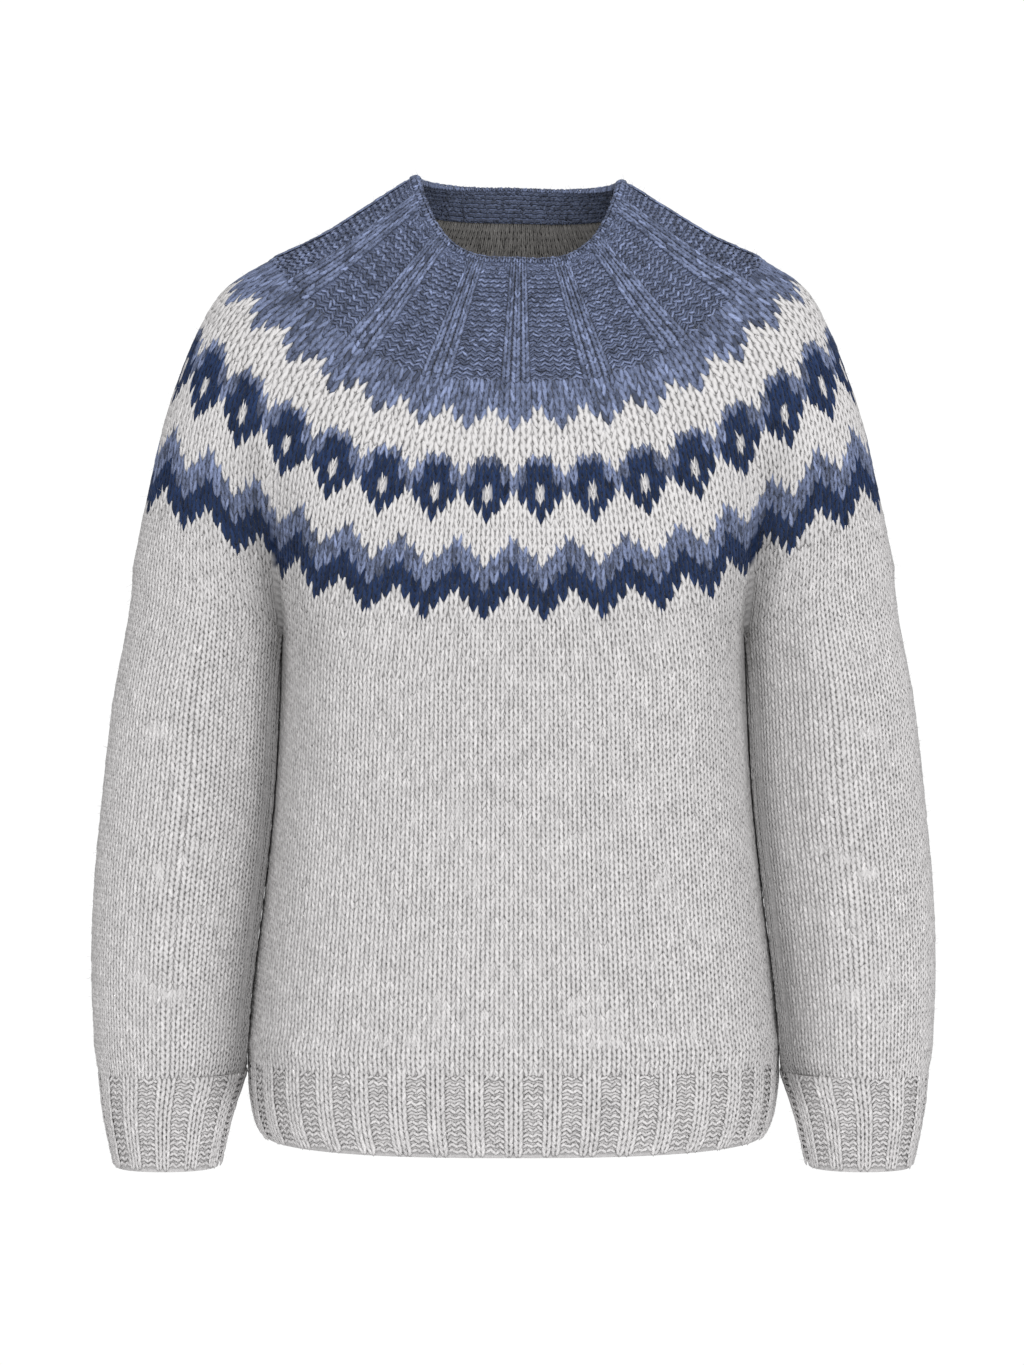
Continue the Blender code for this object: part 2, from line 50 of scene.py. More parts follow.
# height, centre x, centre y, half width, half depth
sleeveRings = np.array([
    (-0.230, 0.2098, 0.0000, 0.0510, 0.0460), (-0.293, 0.2150, 0.0000, 0.0565, 0.0495),
    (-0.396, 0.2218, -0.0030, 0.0615, 0.0515), (-0.465, 0.2285, -0.0060, 0.0605, 0.0510),
    (-0.534, 0.2328, -0.0100, 0.0563, 0.0495), (-0.583, 0.2338, -0.0130, 0.0505, 0.0470),
    (-0.608, 0.2367, -0.0140, 0.0450, 0.0430), (-0.634, 0.2372, -0.0150, 0.0392, 0.0390),
    (-0.647, 0.2372, -0.0150, 0.0362, 0.0370),
])
# down from the crest, front y, front z, side x, side z, back y, back z, pinch of the fold, squareness
yokeRings = np.array([
    (0.000, -0.0740, -0.0320, 0.0725, 0.0335, 0.0710, 0.0320, 0.00, 2.00),
    (0.030, -0.0835, -0.0560, 0.0995, 0.0155, 0.0790, 0.0045, 0.00, 2.00),
    (0.065, -0.0925, -0.0860, 0.1345, -0.0070, 0.0905, -0.0270, 0.00, 2.00),
    (0.100, -0.0990, -0.1150, 0.1690, -0.0240, 0.1010, -0.0600, 0.00, 2.05),
    (0.138, -0.1040, -0.1450, 0.2020, -0.0470, 0.1075, -0.0930, 0.00, 2.12),
    (0.162, -0.1072, -0.1650, 0.2155, -0.0690, 0.1105, -0.1150, 0.02, 2.18),
    (0.205, -0.1115, -0.2060, 0.2350, -0.1180, 0.1148, -0.1580, 0.16, 2.26),
    (0.278, -0.1135, -0.2720, 0.2542, -0.1960, 0.1150, -0.2280, 0.66, 2.32),
    (0.320, -0.1135, -0.3150, 0.2625, -0.2360, 0.1135, -0.2680, 1.00, 2.35),
])
cut = {
    "wall": 0.003,
    "bodySquareness": 2.5,
    "sleeveSquareness": 2.2,
    "lobeHalfWidth": 0.0555,
    "hemTop": -0.574,
    "hemEdge": -0.630,
    "hemRise": 0.005,
    "cuffTop": -0.582,
    "cuffEdge": -0.6465,
    "joinRun": 0.3,
    "joinDown": 0.320,
    "patternTop": 0.100,
    "bandOutside": 0.012,
    "bandInside": 0.022,
    "legGap": 0.0005,
}
# how finely the plain rings are read into tables
fine = {
    "outline": 400, "levels": 90, "quarter": 300, "shares": 121, "downs": 129, "turns": 3200, "halvings": 40,
}
clear = {"least": 0.0006, "more": 0.0004, "run": 0.090}  # between sleeve and body, more below the underarm
# The neck sits a little to the wearer's left and is lower there, and that shoulder is fuller. Each has how
# far, and how far down from the crest or out from the middle it fades.
worn = {
    "drift": 0.0034, "driftRun": 0.16, "fuller": 0.0030, "fullerAt": 0.09, "fullerRun": 0.09, "fullerOut": 0.1,
    "lower": 0.0030, "lowerRun": 0.10, "lowerOut": 0.07,
}
# fullness just above the ribs: how far out, and at what share of the way down, over what share
blouses = {"body": (0.0016, 0.955, 0.035), "sleeve": (0.0010, 0.95, 0.04)}


def addObject(name, data):
    made = bpy.data.objects.new(name, data)
    bpy.context.scene.collection.objects.link(made)
    return made


def sameShape(column, row):
    return np.broadcast_arrays(np.asarray(column, float), np.asarray(row, float))


def readRings(rings, at):
    # every column of a table of rings at the places asked for, on a smooth curve through its rows
    rows = rings if rings[0, 0] < rings[-1, 0] else rings[::-1]
    keys, values = rows[:, 0], rows[:, 1:]
    slopes = np.gradient(values, keys, axis=0)
    at = np.asarray(at, float)
    k = np.clip(np.searchsorted(keys, at) - 1, 0, len(keys) - 2)
    span = keys[k + 1] - keys[k]
    u = np.clip((at - keys[k]) / span, 0, 1)[..., None]
    span = span[..., None]
    start = values[k] * (2 * u**3 - 3 * u**2 + 1) + slopes[k] * span * (u**3 - 2 * u**2 + u)
    return start + values[k + 1] * (3 * u**2 - 2 * u**3) + slopes[k + 1] * span * (u**3 - u**2)


def oval(halfWidth, halfDepth, squareness, turn):
    # points on an oval at angles from its front end towards +X
    s, c = np.sin(turn), np.cos(turn)
    x = halfWidth * np.sign(s) * np.abs(s) ** (2 / squareness)
    y = -halfDepth * np.sign(c) * np.abs(c) ** (2 / squareness)
    return np.stack([x, y], axis=-1)


def lengthsAlong(points):
    steps = np.linalg.norm(np.diff(points, axis=0), axis=1)
    return np.concatenate([[0.0], np.cumsum(steps)])


def atShare(points, share):
    along = lengthsAlong(points)
    at = np.asarray(share) * along[-1]
    return np.stack([np.interp(at, along, points[:, 0]), np.interp(at, along, points[:, 1])], axis=-1)


def climb(share):
    return np.sin(math.pi / 2 * np.clip(share, 0, 1) ** 1.5) ** 2


def readGrid(grid, a, b):
    # a point of a dense grid at fractional row a and column b
    rows, columns = grid.shape[:2]
    a = np.clip(a, 0, rows - 1.000001)
    b = np.clip(b, 0, columns - 1.000001)
    i, j = a.astype(int), b.astype(int)
    u, v = (a - i)[..., None], (b - j)[..., None]
    low = grid[i, j] * (1 - v) + grid[i, j + 1] * v
    high = grid[i + 1, j] * (1 - v) + grid[i + 1, j + 1] * v
    return low * (1 - u) + high * u


def joinOutline(front):
    # the last round before the yoke, seen from above: the body's arc and then the sleeve's
    low = yokeRings[-1]
    middleZ, middleY = (low[2], abs(low[1])) if front else (low[6], abs(low[5]))
    level = middleZ / 2 + low[4] / 2
    halfWidth = readRings(bodyRings, level)[0]
    lobeHalfDepth = readRings(sleeveRings, level)[3]
    centreX = low[3] - cut["lobeHalfWidth"]
    squareness = cut["bodySquareness"]

    def lobe(turn):
        return oval(cut["lobeHalfWidth"], lobeHalfDepth, cut["sleeveSquareness"], turn) + (centreX, 0)

    inside, outside = -math.pi / 2, 0.0
    for _ in range(fine["halvings"]):
        middle = (inside + outside) / 2
        x, y = lobe(middle)
        if abs(x / halfWidth) ** squareness + abs(y / middleY) ** squareness > 1:
            outside = middle
        else:
            inside = middle
    fold = lobe(outside)
    body = oval(halfWidth, middleY, squareness, np.linspace(0, math.pi / 2, fine["outline"]))
    body = np.vstack([body[body[:, 1] < fold[1]], fold])
    sleeve = lobe(np.linspace(outside, math.pi / 2, fine["outline"]))
    share = lengthsAlong(body)[-1] / (lengthsAlong(body)[-1] + lengthsAlong(sleeve)[-1])
    outline = np.vstack([body, sleeve[1:]])
    return (outline if front else outline * (1, -1)), share


joins = {front: joinOutline(front) for front in (True, False)}
joinFolds = {front: atShare(*joins[front]) for front in (True, False)}


def foldHeight(front):
    low = yokeRings[-1]
    middle = low[2] if front else low[6]
    return middle + (low[4] - middle) * climb(joins[front][1])


underarmZ = (foldHeight(True) + foldHeight(False)) / 2


def underarmHeight(y):
    share = (y - joinFolds[True][1]) / (joinFolds[False][1] - joinFolds[True][1])
    return foldHeight(True) + (foldHeight(False) - foldHeight(True)) * np.clip(share, 0, 1)


# Dense tables of the plain rings, which the knitting is read from.
bodyLevels = np.linspace(-0.225, -0.640, fine["levels"])
quarterTurns = np.linspace(0, math.pi / 2, fine["quarter"])
evenShares = np.linspace(0, 1, fine["shares"])
bodyTable = np.array([
    atShare(oval(*readRings(bodyRings, z), cut["bodySquareness"], quarterTurns), evenShares)
    for z in bodyLevels
])


def bodyRing(share, z):
    # a point of the torso's front quarter ring at a share of its length
    a = (z - bodyLevels[0]) / (bodyLevels[-1] - bodyLevels[0]) * (len(bodyLevels) - 1)
    return readGrid(bodyTable, a, share * (len(evenShares) - 1))


def bodyFoldShare(front):
    quarter = bodyRing(evenShares, np.full(len(evenShares), underarmZ)) * (1, 1 if front else -1)
    return evenShares[int(np.argmin(np.linalg.norm(quarter - joinFolds[front], axis=1)))]


bodyFolds = {front: bodyFoldShare(front) for front in (True, False)}


def bodyHalfWidth(z, y):
    halfWidth, halfDepth = np.moveaxis(readRings(bodyRings, z), -1, 0)
    share = np.maximum(1 - np.abs(y / halfDepth) ** cut["bodySquareness"], 0)
    return halfWidth * share ** (1 / cut["bodySquareness"])


def sleeveRing(z, turn):
    # a point on the left sleeve, kept clear of the body
    centreX, centreY, halfWidth, halfDepth = np.moveaxis(readRings(sleeveRings, z), -1, 0)
    point = oval(halfWidth, halfDepth, cut["sleeveSquareness"], turn)
    x, y = point[..., 0] + centreX, point[..., 1] + centreY
    free = np.clip((underarmZ - z) / clear["run"], 0, 1)
    least = bodyHalfWidth(z, y) + clear["least"] + clear["more"] * free
    return np.stack([np.maximum(x, least), y], axis=-1)


def sleeveFolds():
    turns = np.linspace(-math.pi, math.pi, fine["turns"])
    ring = sleeveRing(np.full(len(turns), underarmZ), turns)
    frontTurn = turns[int(np.argmin(np.linalg.norm(ring - joinFolds[True], axis=1)))]
    backTurn = turns[int(np.argmin(np.linalg.norm(ring - joinFolds[False], axis=1)))]
    return frontTurn, (backTurn if backTurn > 0 else backTurn + 2 * math.pi)


frontTurn, backTurn = sleeveFolds()

# The yoke as a dense table for its front and back quarters: row for how far down, column for the share.
yokeDowns = np.linspace(0, cut["joinDown"], fine["downs"])


def yokeTable(front):
    low = yokeRings[-1]
    outline, _ = joins[front]
    folded = atShare(outline, evenShares)
    rows = []
    for ring in readRings(yokeRings, yokeDowns):
        frontY, frontZ, sideX, sideZ, backY, backZ, pinch, squareness = ring
        middleY, middleZ = (frontY, frontZ) if front else (backY, backZ)
        plain = atShare(oval(sideX, abs(middleY), squareness, quarterTurns), evenShares)
        plain = plain * (1, 1 if front else -1)
        drawn = folded * (sideX / low[3], middleY / (low[1] if front else low[5]))
        flat = plain + (drawn - plain) * pinch
        z = middleZ + (sideZ - middleZ) * climb(evenShares)
        rows.append(np.column_stack([flat, z]))
    return np.array(rows)


yokeTables = {front: yokeTable(front) for front in (True, False)}


def yokeSurface(share, down):
    # share of the whole round from the centre front towards the wearer's left
    share = np.asarray(share, float) % 1.0
    side = np.where(share <= 0.5, 1.0, -1.0)
    half = np.where(share <= 0.5, share, 1 - share)
    a = down / cut["joinDown"] * (len(yokeDowns) - 1)
    steps = len(evenShares) - 1
    frontPoint = readGrid(yokeTables[True], a, np.clip(half / 0.25, 0, 1) * steps)
    backPoint = readGrid(yokeTables[False], a, np.clip((0.5 - half) / 0.25, 0, 1) * steps)
    point = np.where((half <= 0.25)[..., None], frontPoint, backPoint)
    point = point * np.stack([side, np.ones_like(side), np.ones_like(side)], axis=-1)
    drift = worn["drift"] * np.clip(1 - down / worn["driftRun"], 0, 1)
    shoulder = np.clip(1 - np.abs(down - worn["fullerAt"]) / worn["fullerRun"], 0, 1)
    drift = drift + worn["fuller"] * shoulder * np.clip(point[..., 0] / worn["fullerOut"], 0, 1)
    point[..., 0] += drift
    crest = np.clip(1 - down / worn["lowerRun"], 0, 1)
    point[..., 2] -= worn["lower"] * np.clip(point[..., 0] / worn["lowerOut"], 0, 1) * crest
    return point


print("shape read")

# Soft creases, the same on both sides of the body. Each has its two ends as (x, z) on the
# wearer's left, its depth, where a ridge is negative, its width, and the face it is on.
creases = (
    ((0.167, -0.270), (0.191, -0.600), 0.0200, 0.023, "front"),  # where the sleeve rests against the body
    ((0.167, -0.270), (0.191, -0.600), 0.0180, 0.023, "back"),
    ((0.155, -0.170), (0.160, -0.270), 0.0060, 0.014, "front"),
    ((0.152, -0.262), (0.118, -0.335), 0.0034, 0.016, "front"),
    ((0.150, -0.290), (0.132, -0.400), 0.0030, 0.014, "front"),
    ((0.128, -0.300), (0.098, -0.385), -0.0022, 0.018, "front"),
    ((0.178, -0.215), (0.182, -0.300), 0.0040, 0.013, "front"),
    ((0.184, -0.290), (0.196, -0.372), 0.0030, 0.014, "front"),
    ((0.206, -0.250), (0.214, -0.345), -0.0024, 0.020, "front"),
    ((0.200, -0.425), (0.246, -0.452), 0.0026, 0.013, "front"),
    ((0.196, -0.470), (0.240, -0.486), 0.0020, 0.012, "front"),
    ((0.262, -0.505), (0.214, -0.530), 0.0022, 0.013, "front"),
    ((0.140, -0.470), (0.156, -0.560), 0.0022, 0.018, "front"),
    ((0.040, -0.520), (0.058, -0.568), 0.0012, 0.018, "front"),
    ((0.152, -0.240), (0.110, -0.330), 0.0036, 0.017, "back"),
    ((0.148, -0.270), (0.126, -0.395), 0.0030, 0.015, "back"),
    ((0.180, -0.200), (0.188, -0.300), 0.0040, 0.014, "back"),
    ((0.198, -0.400), (0.250, -0.430), 0.0028, 0.014, "back"),
    ((0.204, -0.455), (0.252, -0.470), 0.0022, 0.012, "back"),
    ((0.262, -0.500), (0.212, -0.536), 0.0022, 0.013, "back"),
    ((0.030, -0.150), (0.010, -0.330), 0.0020, 0.030, "back"),
    ((0.110, -0.480), (0.134, -0.566), 0.0022, 0.020, "back"),
)
oneSided = (  # the same, on one side only, so that the two sides differ; x is true here
    ((-0.120, -0.400), (-0.150, -0.520), 0.0018, 0.016, "front"),
    ((0.090, -0.440), (0.128, -0.500), 0.0014, 0.016, "front"),
    ((-0.222, -0.380), (-0.262, -0.410), 0.0018, 0.012, "front"),
    ((0.236, -0.345), (0.264, -0.372), 0.0016, 0.012, "front"),
    ((-0.060, -0.350), (-0.020, -0.470), 0.0012, 0.026, "front"),
    ((0.060, -0.300), (0.020, -0.450), 0.0016, 0.030, "back"),
    ((-0.090, -0.250), (-0.050, -0.400), 0.0016, 0.026, "back"),
)


def creaseDepth(x, z, start, end, depth, width):
    ax, az = start
    bx, bz = end
    dx, dz = bx - ax, bz - az
    length = math.hypot(dx, dz)
    along = ((x - ax) * dx + (z - az) * dz) / length**2
    across = ((x - ax) * dz - (z - az) * dx) / length
    across = across + 0.004 * np.sin(math.pi * np.clip(along, 0, 1))  # no crease is quite straight
    fade = np.exp(-np.maximum(np.abs(along - 0.5) - 0.28, 0) ** 2 / 0.045)
    return depth * fade * np.exp(-((across / width) ** 2))


def creased(points, axisY):
    # draws the cloth in or out along its depth, so the outline seen from the front stays
    x, y, z = points[..., 0], points[..., 1] - axisY, points[..., 2]
    facing = np.clip(np.abs(y) / 0.030, 0, 1)
    shift = np.zeros_like(x)
    for start, end, depth, width, face in creases:
        on = (y < 0) if face == "front" else (y >= 0)
        shift = shift + on * creaseDepth(np.abs(x), z, start, end, depth, width)
    for start, end, depth, width, face in oneSided:
        on = (y < 0) if face == "front" else (y >= 0)
        shift = shift + on * creaseDepth(x, z, start, end, depth, width)
    moved = points.copy()
    moved[..., 1] -= np.sign(y) * shift * facing
    return moved


# How many stitches each piece has, and where they lie.
knit = {
    "bodyToFold": 34,  # columns of stitches from the centre to the fold, and on to the side seam
    "bodyUnderarm": 7,
    "bodyRows": 60,
    "hemPerQuarter": 38,
    "hemRows": 13,
    "sleeveLobe": 27,
    "sleeveInner": 9,
    "sleeveRows": 77,
    "cuffColumns": 48,
    "cuffRows": 15,
    "yokeGreyRows": 8,
    "yokeColumns": 192,
    "yokePatternRows": 18,
    "upperColumns": 128,
    "yokeUpperRows": 8,
    "ribRows": 22,
}
patternLow, patternMiddle = 0.278, 0.162  # down from the crest: tips of the zigzag, tops of the diamonds


def fullness(piece, down):
    far, middle, run = blouses[piece]
    return far * np.exp(-(((down - middle) / run) ** 2))


def placeBody(front):
    toFold, total = knit["bodyToFold"], knit["bodyToFold"] + knit["bodyUnderarm"]
    outline, joinShare = joins[front]
    low = yokeRings[-1]
    middleZ = low[2] if front else low[6]
    flip = np.array([1.0 if front else -1.0, 1.0 if front else -1.0])

    def place(column, row):
        column, row = sameShape(column, row)
        c = np.abs(column)
        share = np.interp(c, [0, toFold, total], [0, bodyFolds[front], 1])
        joinAt = joinShare * np.clip(c / toFold, 0, 1)
        level = bodyRing(share, np.full(share.shape, underarmZ))[..., 1] * flip[1]
        top = np.where(c <= toFold, middleZ + (low[4] - middleZ) * climb(joinAt), underarmHeight(level))
        down = 1 - row / knit["bodyRows"]
        z = top + (cut["hemTop"] - top) * down
        point = bodyRing(share, z) * (1, flip[1])
        pull = np.clip(1 - np.maximum(down, 0) / cut["joinRun"], 0, 1) ** 2 * (c <= toFold)
        point = point + (atShare(outline, joinAt) - point) * pull[..., None]
        x = point[..., 0] * np.where(column < 0, -1, 1) * flip[0]
        blouse = fullness("body", down)
        y = point[..., 1] * (1 + blouse / 0.11)
        return creased(np.stack([x * (1 + blouse / 0.17), y, z], axis=-1), 0.0)

    return place


def placeHem(front):
    total = knit["hemPerQuarter"]
    flip = 1.0 if front else -1.0

    def place(column, row):
        column, row = sameShape(column, row)
        share = np.clip(np.abs(column) / total, 0, 1)
        low = cut["hemEdge"] + cut["hemRise"] * share**3
        z = low + (cut["hemTop"] - low) * row / knit["hemRows"]
        point = bodyRing(share, z) * (1, flip)
        x = point[..., 0] * np.where(column < 0, -1, 1) * flip
        return creased(np.stack([x, point[..., 1], z], axis=-1), 0.0)

    return place


def placeSleeve(side):
    lobe, inner = knit["sleeveLobe"], knit["sleeveInner"]
    total = 2 * lobe + inner
    low = yokeRings[-1]

    def place(column, row):
        column, row = sameShape(column, row)
        c = (column * side) % total
        knots = [frontTurn, math.pi / 2, backTurn, frontTurn + 2 * math.pi]
        turn = np.interp(c, [0, lobe, 2 * lobe, total], knots)
        frontAt = joins[True][1] + (1 - joins[True][1]) * np.clip(c / lobe, 0, 1)
        backAt = 1 - (1 - joins[False][1]) * np.clip((c - lobe) / lobe, 0, 1)
        frontTop = low[2] + (low[4] - low[2]) * climb(frontAt)
        backTop = low[6] + (low[4] - low[6]) * climb(backAt)
        level = sleeveRing(np.full(turn.shape, underarmZ), turn)[..., 1]
        top = np.where(c <= lobe, frontTop, np.where(c <= 2 * lobe, backTop, underarmHeight(level)))
        down = 1 - row / knit["sleeveRows"]
        z = top + (cut["cuffTop"] - top) * down
        point = sleeveRing(z, turn)
        frontGoal, backGoal = atShare(joins[True][0], frontAt), atShare(joins[False][0], backAt)
        goal = np.where((c <= lobe)[..., None], frontGoal, backGoal)
        pull = np.clip(1 - np.maximum(down, 0) / cut["joinRun"], 0, 1) ** 2 * (c <= 2 * lobe)
        point = point + (goal - point) * pull[..., None]
        centreX, centreY = np.moveaxis(readRings(sleeveRings, z)[..., :2], -1, 0)
        blouse = fullness("sleeve", down) / 0.05
        outer = np.clip((point[..., 0] - centreX) / 0.04, 0, 1)
        x = point[..., 0] + (point[..., 0] - centreX) * blouse * outer
        y = point[..., 1] + (point[..., 1] - centreY) * blouse
        moved = creased(np.stack([x, y, z], axis=-1), centreY)
        return moved * (side, 1, 1)

    return place


def placeCuff(side):
    total, cuffMiddle = knit["cuffColumns"], -0.61
    turns = np.linspace(-math.pi, math.pi, fine["outline"])
    along = lengthsAlong(sleeveRing(np.full(len(turns), cuffMiddle), turns))

    def place(column, row):
        column, row = sameShape(column, row)
        share = (column * side / total + 0.5) % 1.0
        turn = np.interp(share * along[-1], along, turns)
        z = cut["cuffEdge"] + (cut["cuffTop"] - cut["cuffEdge"]) * row / knit["cuffRows"]
        point = sleeveRing(z, turn)
        return np.concatenate([point, z[..., None]], axis=-1) * (side, 1, 1)

    return place


def placeYokeGrey():
    # plain rounds between the join and the zigzag, whose columns run on from the body and sleeves
    toFold, lobe = knit["bodyToFold"], knit["sleeveLobe"]
    quarter = toFold + lobe

    def place(column, row):
        column, row = sameShape(column, row)
        c = column % (4 * quarter)
        half = np.where(c <= 2 * quarter, c, 4 * quarter - c)
        front = half <= quarter
        within = np.where(front, half, 2 * quarter - half)
        frontShare = np.interp(within, [0, toFold, quarter], [0, joins[True][1], 1])
        backShare = np.interp(within, [0, toFold, quarter], [0, joins[False][1], 1])
        share = np.where(front, frontShare * 0.25, 0.5 - backShare * 0.25)
        share = np.where(c <= 2 * quarter, share, 1 - share)
        down = cut["joinDown"] + (patternLow - cut["joinDown"]) * row / knit["yokeGreyRows"]
        return creased(yokeSurface(share, down), 0.0)

    return place


def placeRounds(columns, lowDown, highDown, rows):
    def place(column, row):
        column, row = sameShape(column, row)
        down = np.clip(lowDown + (highDown - lowDown) * row / rows, 0, cut["joinDown"])
        return creased(yokeSurface(column / columns, down), 0.0)

    return place


bandRadius = cut["wall"] + cut["legGap"] / 2


def placeBand(columns):
    # the folded neckband's face, row 0 at the foot of its outer leg, over the roll and down inside
    def place(column, row):
        column, row = sameShape(column, row)
        along = row * bandPitch
        outerLeg, roll = cut["bandOutside"], math.pi * bandRadius
        turn = np.clip((along - outerLeg) / bandRadius, 0, math.pi)
        down = np.where(along < outerLeg, outerLeg - along, np.maximum(along - outerLeg - roll, 0))
        share = column / columns
        point = yokeSurface(share, down)
        up = yokeSurface(share, np.zeros_like(down)) - yokeSurface(share, np.full(down.shape, 0.004))
        up = up / np.linalg.norm(up, axis=-1, keepdims=True)
        around = yokeSurface(share + 0.002, down) - yokeSurface(share - 0.002, down)
        outward = np.cross(around, up)
        outward = outward / np.linalg.norm(outward, axis=-1, keepdims=True)
        point = point + up * (bandRadius * np.sin(turn))[..., None]
        return point - outward * (bandRadius * (1 - np.cos(turn)))[..., None]

    return place


bandRows = 13
bandPitch = (cut["bandOutside"] + math.pi * bandRadius + cut["bandInside"]) / bandRows

yarns = {  # sRGB, and how strongly the light and dark fibres of each yarn differ
    "G": ("#CECCCC", 0.22),  # light grey marl
    "W": ("#D6D4D4", 0.10),  # natural white
    "B": ("#6C7692", 1.10),  # blue heather
    "N": ("#223253", 0.60),  # navy
    "T": ("#797775", 0.40),  # the grey seen on the inside
    "D": ("#4E566B", 0.90),  # the band's blue where it is turned in, darkened as painted shade
}
yarnOrder = "GWBNTD"
diamondRows = ("NWWWWW", "NNWWWN", "WNNWNN", "WNNBNN", "NNBBBN", "NNBWBN", "BBWWWB")


def linear(hexColour):
    channels = [int(hexColour[i : i + 2], 16) / 255 for i in (1, 3, 5)]
    return [c / 12.92 if c <= 0.04045 else ((c + 0.055) / 1.055) ** 2.4 for c in channels]


yarnColours = np.array([linear(yarns[letter][0]) for letter in yarnOrder])
yarnFlecks = np.array([yarns[letter][1] for letter in yarnOrder])


def patternLetter(column, row):
    # zigzag and diamonds, 6 stitches to a repeat; row 0 is the first with a navy tip
    step = (column - 3) % 6
    if row < 11:
        offset = min(step, 6 - step)
        if row < offset:
            return "G"
        return "N" if row < offset + 3 else "B" if row < offset + 6 else "W"
    return diamondRows[row - 11][step]


def upperLetter(column, row):
    # white rounds, then blue whose tips point down between the diamonds, 4 stitches to a repeat
    step = column % 4
    return "B" if row >= 3 + min(step, 4 - step) else "W"


def letterNumbers(letterAt, columns, rows):
    return np.array([[yarnOrder.index(letterAt(c, r)) for c in columns] for r in rows])


# The yarn is laid as leaves with Geometry Nodes.
yarnLay = {
    "legFoot": 0.09,  # of a stitch's width, from its middle to the foot of a leg, and on to the top of it
    "legTop": 0.40,
    "ribTop": 0.33,  # the same in a rib, whose columns are drawn narrow
    "legWidth": 0.54,
    "legLength": 1.95,  # of a stitch's height, so the legs of two rows lie side by side
    "legHeight": 0.0014,
    "dive": 0.03,  # radians that a leg's upper end goes in behind the next stitch
    "sink": 0.0008,  # from the cloth's face to the middle of the yarn
    "jitter": 0.08,
    "dashLength": 1.00,  # of a stitch's width, in purl
    "dashHeight": 0.64,  # of a stitch's height
    "dashSlant": 0.56,
}
# how much a leg strays from its neighbours, as one standard deviation; up is of a stitch's height
uneven = {
    "alongShade": 0.7, "legShade": 0.6, "lean": 0.045, "dashUp": 0.05, "dashLength": 0.12, "out": 0.00015,
    "up": 0.06,
}
fuzz = {"share": 0.18, "width": 0.00016, "length": (0.0025, 0.0060), "outward": (0.12, 0.75), "off": 0.0004}

# The fold between sleeve and body, as height and distance from the middle, foot first. Its colour is darkened
# with painted shade, since the lights alone leave it pale: how dark, and how far that reaches to each side.
foldLine = ((-0.600, 0.1865), (-0.534, 0.1815), (-0.460, 0.1722), (-0.396, 0.1660), (-0.315, 0.1600),
            (-0.272, 0.1600), (-0.226, 0.1665), (-0.159, 0.1740))
foldTone = {"dark": 0.58, "bodyReach": 0.0060, "sleeveReach": 0.0160, "haze": 0.13, "hazeReach": 0.032}


def foldShade(points):
    # painted shade, darkest on the fold line and fading to each side, with a fainter haze of painted shade
    # reaching wider
    heights, places = np.transpose(foldLine)
    off = np.abs(points[..., 0]) - np.interp(points[..., 2], heights, places)
    depth = np.interp(points[..., 2], (-0.610, -0.580, -0.270, -0.200, -0.130), (0, 0.9, 1, 0.62, 0))
    reach = np.where(off < 0, foldTone["bodyReach"], foldTone["sleeveReach"])
    core = foldTone["dark"] * np.exp(-((off / reach) ** 2))
    return 1 - depth * np.maximum(core, foldTone["haze"] * np.exp(-((off / foldTone["hazeReach"]) ** 2)))


def smoothRandom(rng, shape, run):
    # random shades that change slowly along a row, as a marled yarn does
    values = rng.standard_normal((shape[0], shape[1] + 4 * run))
    weights = np.hanning(2 * run + 1)
    weights /= np.sqrt((weights**2).sum())
    smooth = np.array([np.convolve(row, weights, mode="same") for row in values])
    return smooth[:, 2 * run : 2 * run + shape[1]]


def unit(vectors):
    return vectors / np.maximum(np.linalg.norm(vectors, axis=-1, keepdims=True), 1e-9)


def eulers(right, along, out):
    # turns about X, Y and Z for legs whose own axes are right, along and out
    y = np.arcsin(np.clip(-right[..., 2], -1, 1))
    x = np.arctan2(along[..., 2], out[..., 2])
    z = np.arctan2(right[..., 1], right[..., 0])
    return np.stack([x, y, z], axis=-1)


